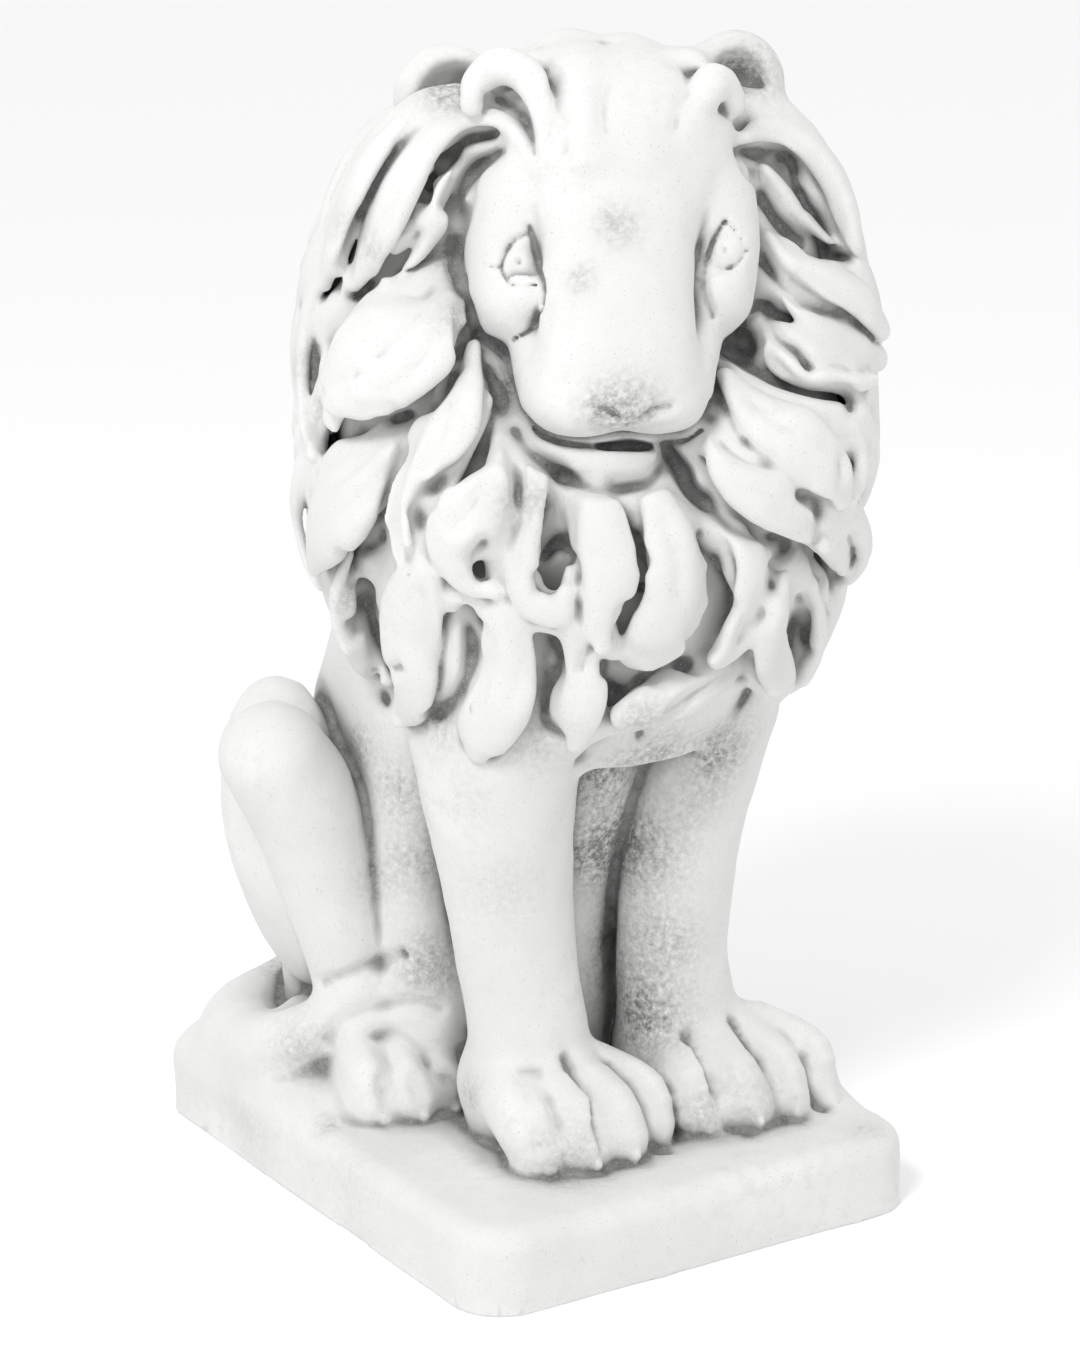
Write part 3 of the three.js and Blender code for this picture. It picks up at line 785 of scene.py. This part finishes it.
CROWN_GROOVES = [
    [[566, 150, 7], [568, 122, 12], [563, 95, 16], [556, 72, 16]],
    [[606, 132, 7], [605, 108, 10], [610, 82, 12]],
    [[676, 130, 7], [680, 112, 12], [690, 94, 12]],
]
FORELOCK_HOLLOW = [[486, 96, 8], [502, 98, 14], [520, 112, 15], [530, 132, 10], [536, 158, 5]]


def lay_face(clay):
    """Eyes, nostrils, mouth and the creases of the face, cut where the photograph shows them."""
    for eye in EYES:
        px, py, wide = eye["ball"]
        carve_line(clay, [[px, py, wide + SOCKET_RIM]], 2.0, 4)
        place, _ = seen(clay, px, py)
        radii = [wide * EYE_WIDTH, EYE_DEPTH, wide * EYE_HEIGHT]
        clay.join(ball(place - VIEW_BACK * EYE_SUNK, radii, math.degrees(AZIMUTH)), 2)
        for part, (deep, blend) in EYE_CUTS.items():
            carve_line(clay, eye[part], deep, blend)
    for line in NOSTRILS:
        carve_line(clay, line, 2.8, 3)
    carve_line(clay, PHILTRUM, 2.2, 2)
    carve_line(clay, MOUTH, 4.0, 1.5, sink=1.0)
    carve_line(clay, MOUTH_OPENING, 12.0, 2, sink=2.0)
    for line in CHEEK_FOLDS:
        carve_line(clay, line, 4.0, 5)


def lay_hair_lines(clay):
    """The soft grooves of the crown and the hollow under the forelock."""
    for line in CROWN_GROOVES:
        carve_line(clay, line, 2.3, 4, times=1.3)
    carve_line(clay, FORELOCK_HOLLOW, 9.0, 4)


# The dark hollows between the locks in the photograph: how deep they go, in millimetres, and their
# lines as [pixel x, pixel y, pixels wide].
HOLLOWS = [
    (10, [[495, 134, 6], [462, 141, 9], [436, 170, 11], [426, 200, 12]]),
    (14, [[500, 150, 8], [478, 166, 14], [460, 188, 15], [448, 205, 11]]),
    (5, [[450, 222, 14], [452, 260, 14], [459, 300, 12], [463, 332, 14]]),
    (8, [[362, 212, 6], [352, 244, 12], [346, 276, 9]]),
    (9, [[418, 234, 12], [402, 256, 15], [380, 275, 16], [356, 297, 10]]),
    (11, [[464, 332, 14], [452, 378, 13], [432, 402, 13], [395, 418, 10], [352, 428, 15]]),
    (7, [[402, 446, 10], [393, 488, 15], [390, 530, 22], [404, 560, 10]]),
    (7, [[499, 434, 8], [482, 462, 10], [446, 481, 10], [422, 502, 13], [419, 526, 8]]),
    (12, [[484, 544, 10], [478, 560, 20], [480, 578, 10]]),
    (10, [[486, 366, 8], [500, 398, 17], [508, 436, 18], [518, 470, 12], [518, 506, 5]]),
    (10, [[514, 428, 14], [532, 450, 16], [562, 476, 12]]),
    (22, [[668, 448, 14], [682, 470, 20], [692, 490, 14], [705, 505, 8]]),
    (9, [[538, 592, 6], [541, 564, 11], [558, 543, 14], [573, 558, 9], [578, 580, 6]]),
    (6, [[640, 532, 4], [646, 565, 9], [640, 590, 9], [622, 612, 10], [616, 638, 14]]),
    (9, [[700, 532, 6], [714, 565, 14], [712, 600, 13], [698, 632, 12], [685, 664, 18]]),
    (6, [[728, 606, 8], [716, 628, 11], [711, 648, 7]]),
    (9, [[560, 474, 9], [588, 487, 12], [620, 489, 13], [650, 481, 12], [666, 462, 9]]),
    (12, [[705, 497, 10], [730, 522, 9], [760, 535, 9], [788, 542, 18], [777, 562, 14], [772, 588, 5]]),
    (6, [[708, 412, 11], [722, 442, 9], [748, 462, 7], [768, 468, 4]]),
    (10, [[798, 496, 6], [815, 502, 15], [820, 520, 9], [817, 540, 4]]),
    (20, [[724, 346, 18], [748, 362, 14], [778, 381, 10], [812, 392, 9], [846, 396, 14], [852, 410, 8]]),
    (24, [[742, 338, 30], [746, 346, 26]]),
    (8, [[760, 258, 12], [784, 288, 9], [806, 306, 6], [838, 316, 4]]),
    (9, [[766, 306, 14], [778, 336, 9], [798, 352, 8], [811, 369, 6]]),
    (12, [[733, 152, 10], [760, 152, 11], [786, 153, 9], [796, 180, 7], [804, 206, 4]]),
    (14, [[744, 168, 16], [764, 200, 15], [785, 228, 15], [815, 250, 12], [847, 257, 9]]),
    (8, [[812, 560, 18], [822, 578, 13]]),
    (5, [[841, 460, 6], [843, 480, 8], [848, 497, 5]]),
    (10, [[372, 588, 22], [362, 612, 24], [356, 636, 9]]),
    (8, [[398, 668, 6], [376, 674, 12], [385, 700, 10], [398, 718, 6]]),
    (9, [[466, 612, 12], [472, 650, 14], [460, 690, 11], [438, 716, 16]]),
    (7, [[556, 640, 8], [560, 660, 14], [548, 692, 8], [545, 720, 13], [560, 735, 8]]),
    (6, [[592, 645, 8], [580, 672, 9]]),
    (12, [[604, 664, 16], [612, 690, 18]]),
    (10, [[738, 668, 20], [700, 692, 13], [668, 716, 12], [638, 736, 8]]),
    (7, [[800, 598, 6], [803, 630, 9], [808, 652, 7]]),
    (5, [[748, 624, 8], [740, 646, 6]]),
    (5, [[303, 358, 6], [306, 400, 7], [309, 446, 6]]),
    (5, [[314, 378, 6], [318, 410, 8], [320, 440, 6]]),
    (6, [[340, 555, 8], [366, 548, 10], [382, 536, 10]]),
]

# Finer lines between the strands of a lock.
STRANDS = [
    [[434, 284, 6], [420, 308, 7], [398, 334, 7], [374, 356, 5]],
    [[444, 318, 5], [430, 348, 6], [404, 378, 6], [380, 392, 4]],
    [[356, 374, 5], [330, 387, 8]],
    [[416, 415, 4], [388, 410, 6], [362, 412, 5]],
    [[384, 470, 5], [362, 498, 6], [334, 522, 5]],
    [[366, 456, 5], [340, 478, 6], [316, 500, 5]],
    [[420, 150, 5], [398, 184, 6], [384, 222, 5]],
    [[396, 146, 5], [374, 186, 6], [362, 214, 5]],
    [[784, 134, 5], [816, 160, 6], [836, 200, 6], [842, 232, 4]],
    [[752, 398, 6], [770, 414, 7], [788, 428, 5]],
    [[744, 440, 5], [778, 466, 7], [806, 486, 5]],
    [[800, 272, 5], [834, 290, 6], [864, 318, 5]],
    [[806, 366, 6], [826, 362, 7], [848, 366, 5]],
    [[450, 400, 5], [438, 432, 6], [420, 462, 5]],
    [[488, 476, 5], [470, 508, 7], [448, 530, 5]],
    [[522, 640, 5], [524, 668, 7], [514, 700, 6]],
    [[490, 640, 5], [484, 676, 6], [474, 712, 5]],
    [[420, 596, 5], [428, 636, 6], [434, 668, 5]],
    [[640, 680, 5], [664, 682, 7], [690, 676, 5]],
    [[532, 500, 5], [514, 540, 6], [514, 578, 5]],
    [[664, 520, 4], [678, 560, 6], [680, 600, 5]],
    [[760, 600, 5], [766, 636, 6], [764, 662, 5]],
]

# The grooves between the toes and along the tail, as the hollows are given.
LOW_GROOVES = [
    (2.2, [[526, 1072, 8], [528, 1096, 10], [534, 1120, 9], [540, 1142, 6]]),
    (3.0, [[568, 1058, 8], [581, 1080, 12], [593, 1102, 12], [600, 1126, 10], [606, 1148, 8]]),
    (3.0, [[612, 1060, 8], [630, 1080, 11], [645, 1098, 11], [655, 1122, 10], [664, 1150, 9]]),
    (4.0, [[688, 1036, 10], [701, 1054, 15], [713, 1076, 14], [723, 1094, 13], [730, 1112, 15],
           [748, 1125, 10]]),
    (3.5, [[735, 1020, 8], [754, 1046, 12], [770, 1063, 12], [779, 1084, 10], [786, 1104, 11],
           [798, 1110, 10]]),
    (2.2, [[808, 1056, 7], [815, 1080, 9], [820, 1104, 9]]),
    (6.0, [[322, 984, 7], [350, 976, 9], [378, 966, 10], [402, 956, 8]]),
    (4.5, [[326, 1040, 7], [345, 1020, 8], [380, 1008, 8], [410, 1005, 8], [440, 1010, 7]]),
    (3.0, [[382, 1082, 6], [390, 1102, 8]]),
    (3.0, [[416, 1080, 6], [422, 1100, 8]]),
    (3.0, [[446, 1076, 6], [452, 1096, 8]]),
]


def lay_hollows(clay):
    """Each hollow is a soft valley with a deeper line along it."""
    for deep, line in HOLLOWS:
        carve_line(clay, line, min(0.25 * deep, 2.5), 5, times=1.6)
        carve_line(clay, line, 0.85 * deep, 4)
    for line in STRANDS:
        carve_line(clay, line, 2.3, 4, times=1.8)


def lay_low_grooves(clay):
    for deep, line in LOW_GROOVES:
        carve_line(clay, line, 0.6 * deep, 7, times=1.5)


def lay_ear(clay, side):
    """A round ear, cupped in front."""
    left, up = (-86, 63) if side < 0 else (80, 68)
    shell = head_ball((left, -14, up), [33, 19, 33], turn=side * 18)
    cup = head_ball((left, 8, up + 4), [24, 21, 24], turn=side * 18)
    clay.join(shell, 5, [cup], 5)


def lay_crown(clay):
    """The forelock that arches over to one ear, and the tufts combed back from the forehead."""
    soft = [
        [[-16, 78, 40, 9, 6], [-18, 62, 66, 13, 9], [-18, 38, 84, 15, 10], [-20, -8, 90, 16, 10]],
        [[12, 78, 40, 9, 6], [14, 62, 62, 14, 9], [18, 38, 80, 16, 10], [18, -8, 86, 17, 10]],
        [[-20, -8, 90, 16, 10], [-24, -44, 74, 13, 9]],
        [[18, -8, 86, 17, 10], [20, -44, 74, 13, 9]],
        [[-44, 20, 84, 12, 9], [-48, -20, 80, 15, 10], [-50, -50, 62, 12, 9]],
        [[44, 24, 84, 12, 9], [48, -20, 80, 15, 10], [50, -50, 62, 12, 9]],
    ]
    for tuft in soft:
        clay.join(head_run(tuft, 12), 9)
    crisp = [
        [[-43, 66, 34, 7, 6], [-40, 60, 60, 10, 9], [-47, 46, 80, 11, 10], [-63, 36, 87, 11, 10],
         [-76, 38, 79, 10, 9], [-80, 40, 66, 7, 7]],
        [[38, 62, 44, 9, 7], [47, 52, 66, 13, 10], [58, 42, 76, 13, 11], [67, 38, 66, 10, 9]],
    ]
    for tuft in crisp:
        clay.join(head_run(tuft, 12, AHEAD), 4)
    for stations in TEMPLE_LOCKS:
        lay_lock(clay, stations)


# Where the photograph shows grey: real stains, and painted shade in the hollows of the ears and face,
# between the legs, under the mane and beneath the toes: [pixel x, pixel y, pixels across, strength].
STAINS_AND_SHADES = [
    [617, 225, 44, 0.6], [580, 280, 26, 0.7], [628, 414, 70, 0.9], [600, 406, 34, 0.6],
    [452, 88, 60, 1.0], [738, 76, 70, 1.0], [455, 260, 50, 0.6], [457, 320, 44, 0.6], [500, 390, 40, 0.7],
    [745, 350, 50, 0.9], [420, 860, 74, 0.55], [400, 790, 60, 0.6],
    [430, 965, 66, 0.8], [372, 880, 50, 0.35], [360, 745, 50, 0.5], [605, 770, 90, 1.0],
    [655, 760, 90, 0.7], [602, 850, 90, 1.1], [615, 930, 90, 1.1], [640, 1015, 90, 1.1],
    [650, 850, 90, 0.5], [660, 940, 80, 0.6], [700, 800, 60, 0.3], [715, 760, 50, 0.5],
    [350, 600, 44, 0.5], [500, 890, 90, 0.22], [470, 800, 60, 0.2],
    [300, 1050, 70, 0.4], [250, 1130, 80, 0.2], [760, 1100, 90, 0.25], [350, 1180, 80, 0.15],
    [866, 1130, 40, 0.35], [310, 372, 44, 0.5], [322, 410, 34, 0.5], [345, 230, 44, 0.4],
    [372, 250, 34, 0.4], [540, 742, 70, 0.4], [440, 722, 56, 0.5], [722, 742, 74, 0.6],
    [640, 722, 56, 0.6], [570, 1166, 90, 0.45], [470, 1095, 40, 0.6], [282, 965, 56, 0.6],
    [700, 1115, 44, 0.5], [510, 505, 50, 0.4], [545, 500, 50, 0.35], [330, 1125, 30, 0.5],
]


def stained_and_shaded(clay, points):
    """How stained or painted with shade each point of the surface is. The stains and painted shade reach a
    little under the surface.
    """
    total = np.zeros(len(points))
    for px, py, across, strength in STAINS_AND_SHADES:
        place, away = seen(clay, px, py)
        if math.isnan(away):
            continue
        off = np.linalg.norm(points - place, axis=1) / half_width(across, away)
        total += strength * np.exp(-off * off)
    return total


# The corners of the block that holds the statue, with room round it.
BLOCK_LOW, BLOCK_HIGH = (-190, -220, -8), (196, 220, 712)
# The paws: x and y of the ankle, width, length, height and how far the toes splay.
PAWS = [
    (-37, -62, 108, 92, 56, 6),
    (82, -62, 118, 90, 56, 8),
    (-84, 48, 90, 80, 52, 4),
    (98, 40, 80, 74, 50, 0),
]


def model_statue():
    clay = Clay(BLOCK_LOW, BLOCK_HIGH, STEP)
    lay_body(clay)
    for side in (-1, 1):
        lay_hindleg(clay, side)
        lay_foreleg(clay, side)
    lay_mane(clay)
    lay_head(clay)
    for side in (-1, 1):
        lay_ear(clay, side)
    lay_crown(clay)
    clay.deepen(radius=6, strength=30, most=4)
    lay_hair_lines(clay)
    lay_hollows(clay)
    clay.soften()
    lay_face(clay)
    lay_plinth(clay)
    clay.gaps += 0.9 * clay.noise(spacing=48, seed=7)
    for paw in PAWS:
        lay_paw(clay, *paw)
    lay_tail(clay)
    lay_low_grooves(clay)
    clay.gaps += 0.7 * clay.noise(spacing=26, seed=3) + 0.25 * clay.noise(spacing=7, seed=5)
    z = clay.places((0, 0, 0), clay.size)[2]
    clay.gaps = np.maximum(clay.gaps, -z)
    return clay


def surface(clay):
    """The statue's surface as points and four-sided faces."""
    grid = openvdb.FloatGrid(BAND)
    grid.copyFromArray(np.clip(clay.gaps, -BAND, BAND))
    points, _, quads = grid.convertToPolygons(isovalue=0.0, adaptivity=0.0)
    return points * clay.step + clay.low, quads


def mesh_object(name, points, quads):
    mesh = bpy.data.meshes.new(name)
    mesh.vertices.add(len(points))
    mesh.vertices.foreach_set("co", (points * MM).astype(np.float32).ravel())
    mesh.loops.add(quads.size)
    mesh.loops.foreach_set("vertex_index", quads.astype(np.int32).ravel())
    mesh.polygons.add(len(quads))
    mesh.polygons.foreach_set("loop_start", np.arange(0, quads.size, 4, dtype=np.int32))
    mesh.update(calc_edges=True)
    mesh.validate()
    thing = bpy.data.objects.new(name, mesh)
    bpy.context.scene.collection.objects.link(thing)
    return thing


def settle(thing, modifier):
    """Applies a modifier to the mesh."""
    shaped = bpy.data.meshes.new_from_object(thing.evaluated_get(bpy.context.evaluated_depsgraph_get()))
    thing.modifiers.remove(modifier)
    thing.data = shaped


def clean(mesh):
    """Takes out faces without area, and specks that hang loose from the casting."""
    shell = bmesh.new()
    shell.from_mesh(mesh)
    bmesh.ops.dissolve_degenerate(shell, dist=1e-6, edges=shell.edges)
    shell.verts.ensure_lookup_table()
    reached = set()
    specks = []
    for start in shell.verts:
        if start in reached:
            continue
        part = [start]
        reached.add(start)
        for vert in part:
            for edge in vert.link_edges:
                other = edge.other_vert(vert)
                if other not in reached:
                    reached.add(other)
                    part.append(other)
        if len(part) < SPECK:
            specks += part
    bmesh.ops.delete(shell, geom=specks, context="VERTS")
    bmesh.ops.triangulate(shell, faces=shell.faces)
    shell.to_mesh(mesh)
    shell.free()
    mesh.validate()


# The recesses that the material reads, to paint patina and shade into them: their radius, measured on one
# cell in each stride.
RECESSES = [("recess_fine", 2, 5.0), ("recess_broad", 2, 16.0), ("recess_line", 1, 1.8)]


def add_guides(clay, mesh, places):
    """Stains with painted shade, and recesses for patina with painted shade, as values on the mesh for the
    material.
    """
    guides = {"stain_and_shade": stained_and_shaded(clay, places)}
    for label, stride, radius in RECESSES:
        cells = max(1, round(radius / (stride * clay.step)))
        guides[label] = sampled(clay, blurred(clay.filled(stride), cells), stride, places)
    for label, value in guides.items():
        layer = mesh.attributes.new(label, "FLOAT", "POINT")
        layer.data.foreach_set("value", value.astype(np.float32))


def build_statue():
    clay = model_statue()
    points, quads = surface(clay)
    statue = mesh_object("lion_cast", points, quads[:, ::-1])
    slim = statue.modifiers.new("slim", "DECIMATE")
    slim.ratio = min(1.0, FACES / (2 * len(quads)))
    settle(statue, slim)
    mesh = statue.data
    clean(mesh)
    places = np.empty(len(mesh.vertices) * 3, np.float32)
    mesh.vertices.foreach_get("co", places)
    places = places.reshape(-1, 3)
    places[:, 2] = np.where(places[:, 2] < ON_FLOOR * MM, 0.0, places[:, 2])
    mesh.vertices.foreach_set("co", places.ravel())
    add_guides(clay, mesh, places / MM)
    mesh.polygons.foreach_set("use_smooth", np.ones(len(mesh.polygons), bool))
    mesh.update()
    return statue


def node(tree, kind, **settings):
    made = tree.nodes.new(kind)
    for key, value in settings.items():
        if hasattr(made, key):
            setattr(made, key, value)
        else:
            made.inputs[key.replace("_", " ")].default_value = value
    return made


def ramp(tree, source, stops):
    made = tree.nodes.new("ShaderNodeValToRGB")
    made.color_ramp.elements[0].position = stops[0][0]
    made.color_ramp.elements[0].color = (*stops[0][1], 1)
    made.color_ramp.elements[1].position = stops[-1][0]
    made.color_ramp.elements[1].color = (*stops[-1][1], 1)
    for place, colour in stops[1:-1]:
        made.color_ramp.elements.new(place).color = (*colour, 1)
    tree.links.new(source, made.inputs["Fac"])
    return made.outputs["Color"]


def grey(value):
    return (value, value, value)


# The stone's colours: its cloudy tone, the patina that also paints shade into the recesses, worn edges that
# also paint a highlight, and dark sand grains.
TONE = ((0.66, 0.66, 0.65), (0.73, 0.73, 0.722))
PATINA_AND_SHADE = ((0.13, 0.13, 0.128), (0.27, 0.27, 0.265))
WORN_AND_LIT = (0.84, 0.84, 0.835)
SAND = (0.50, 0.50, 0.495)
ROUGHNESS = (grey(0.78), grey(0.92))
BUMP_STRENGTH, BUMP_METRES = 0.35, 0.0012


def cast_stone():
    """Pale cast stone: soft cloudy tone, fine sand speckle, grey patina with painted shade in the recesses
    and where stained, and lighter worn edges with a painted highlight.
    """
    stone = bpy.data.materials.new("cast_stone")
    stone.use_nodes = True
    tree = stone.node_tree
    shader = tree.nodes["Principled BSDF"]
    link = tree.links.new
    place = node(tree, "ShaderNodeTexCoord").outputs["Object"]

    def noise(scale, detail, rough):
        made = node(tree, "ShaderNodeTexNoise", Scale=scale, Detail=detail, Roughness=rough)
        link(place, made.inputs["Vector"])
        return made.outputs["Fac"]

    def maths(operation, a, b):
        made = tree.nodes.new("ShaderNodeMath")
        made.operation = operation
        for n, value in enumerate((a, b)):
            if isinstance(value, (int, float)):
                made.inputs[n].default_value = value
            else:
                link(value, made.inputs[n])
        return made.outputs["Value"]

    def add(a, b):
        return maths("ADD", a, b)

    def times(a, b):
        return maths("MULTIPLY", a, b)

    def above(value, level, gain):
        return maths("MAXIMUM", times(maths("SUBTRACT", value, level), gain), 0.0)

    def attribute(label):
        return node(tree, "ShaderNodeAttribute", attribute_name=label).outputs["Fac"]

    def mix(amount, a, b):
        made = tree.nodes.new("ShaderNodeMix")
        made.data_type = "RGBA"
        link(amount, made.inputs["Factor"])
        for name, value in (("A", a), ("B", b)):
            socket = [s for s in made.inputs if s.name == name and s.type == "RGBA"][0]
            if isinstance(value, tuple):
                socket.default_value = (*value, 1)
            else:
                link(value, socket)
        return [s for s in made.outputs if s.type == "RGBA"][0]

    cloud = noise(scale=14.0, detail=4.0, rough=0.55)
    mottle = noise(scale=90.0, detail=5.0, rough=0.65)
    blotch = noise(scale=260.0, detail=4.0, rough=0.7)
    grain = noise(scale=900.0, detail=3.0, rough=0.6)
    line = attribute("recess_line")
    # Grey patina and painted shade in the creases and broad recesses, where the stone is hollow.
    crease_patina_and_shade = add(above(line, 0.545, 3.0), above(attribute("recess_fine"), 0.54, 5.0))
    patina_stain_and_shade = add(crease_patina_and_shade, above(attribute("recess_broad"), 0.555, 3.2))
    patina_stain_and_shade = times(patina_stain_and_shade, add(mottle, 0.5))
    # Grey stains and painted shade at the listed spots, broken up by the blotch noise.
    patchy_stain_and_shade = times(above(blotch, 0.3, 4.0), attribute("stain_and_shade"))
    weather = times(above(mottle, 0.50, 2.2), above(cloud, 0.42, 2.4))
    patina_stain_and_shade = add(add(patina_stain_and_shade, times(patchy_stain_and_shade, 0.75)), times(weather, 0.6))
    amount = node(tree, "ShaderNodeClamp")
    link(patina_stain_and_shade, amount.inputs["Value"])
    base = ramp(tree, cloud, [(0.3, TONE[0]), (0.7, TONE[1])])
    patina_and_shade_colour = ramp(tree, mottle, [(0.35, PATINA_AND_SHADE[0]), (0.65, PATINA_AND_SHADE[1])])
    colour = mix(amount.outputs["Result"], base, patina_and_shade_colour)
    # Convex edges are lightened: wear, and a painted highlight.
    worn_and_lit_edge = maths("MINIMUM", above(maths("SUBTRACT", 1.0, line), 0.53, 5.0), 1.0)
    colour = mix(times(worn_and_lit_edge, 0.6), colour, WORN_AND_LIT)
    speckle = ramp(tree, grain, [(0.30, grey(0.0)), (0.38, grey(1.0))])
    link(mix(speckle, SAND, colour), shader.inputs["Base Color"])
    roughness = ramp(tree, mottle, [(0.3, ROUGHNESS[0]), (0.7, ROUGHNESS[1])])
    link(roughness, shader.inputs["Roughness"])
    shader.inputs["Specular IOR Level"].default_value = 0.3
    bump = node(tree, "ShaderNodeBump", Strength=BUMP_STRENGTH, Distance=BUMP_METRES)
    link(add(times(mottle, 0.7), times(grain, 0.3)), bump.inputs["Height"])
    link(bump.outputs["Normal"], shader.inputs["Normal"])
    return stone


def add_camera():
    """The photograph's own view."""
    data = bpy.data.cameras.new("camera")
    data.lens = LENS
    data.sensor_width = SENSOR
    camera = bpy.data.objects.new("camera", data)
    camera.location = EYE * MM
    camera.rotation_euler = Vector(-VIEW_BACK).to_track_quat("-Z", "Y").to_euler()
    bpy.context.scene.collection.objects.link(camera)
    bpy.context.scene.camera = camera


# The studio, in metres and watts.
FLOOR_SIZE, FLOOR_TONE, FLOOR_ROUGHNESS = 60, 0.93, 0.9
LAMP_PLACE, LAMP_AIM = Vector((-2.0, -1.3, 2.6)), Vector((0, 0, 0.35))
LAMP_SIZE, LAMP_POWER = 0.7, 40


def add_studio():
    """A plain pale floor, a white surround that lights from everywhere, and one soft lamp."""
    bpy.ops.mesh.primitive_plane_add(size=FLOOR_SIZE, location=(0, 0, 0))
    floor = bpy.context.object
    floor.name = "floor"
    paint = bpy.data.materials.new("floor_paint")
    paint.use_nodes = True
    sockets = paint.node_tree.nodes["Principled BSDF"].inputs
    sockets["Base Color"].default_value = (*grey(FLOOR_TONE), 1)
    sockets["Roughness"].default_value = FLOOR_ROUGHNESS
    floor.data.materials.append(paint)
    world = bpy.data.worlds.new("surround")
    bpy.context.scene.world = world
    world.use_nodes = True
    sockets = world.node_tree.nodes["Background"].inputs
    sockets["Color"].default_value = (1, 1, 1, 1)
    sockets["Strength"].default_value = 1.0
    data = bpy.data.lights.new("key", "AREA")
    data.size = LAMP_SIZE
    data.energy = LAMP_POWER
    lamp = bpy.data.objects.new("key", data)
    lamp.location = LAMP_PLACE
    lamp.rotation_euler = (LAMP_AIM - LAMP_PLACE).to_track_quat("-Z", "Y").to_euler()
    bpy.context.scene.collection.objects.link(lamp)
    bpy.context.scene.view_settings.view_transform = "Standard"


statue = build_statue()
statue.data.materials.clear()
statue.data.materials.append(cast_stone())
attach(statue, "root")
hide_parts("lion_statue")
add_camera()
add_studio()
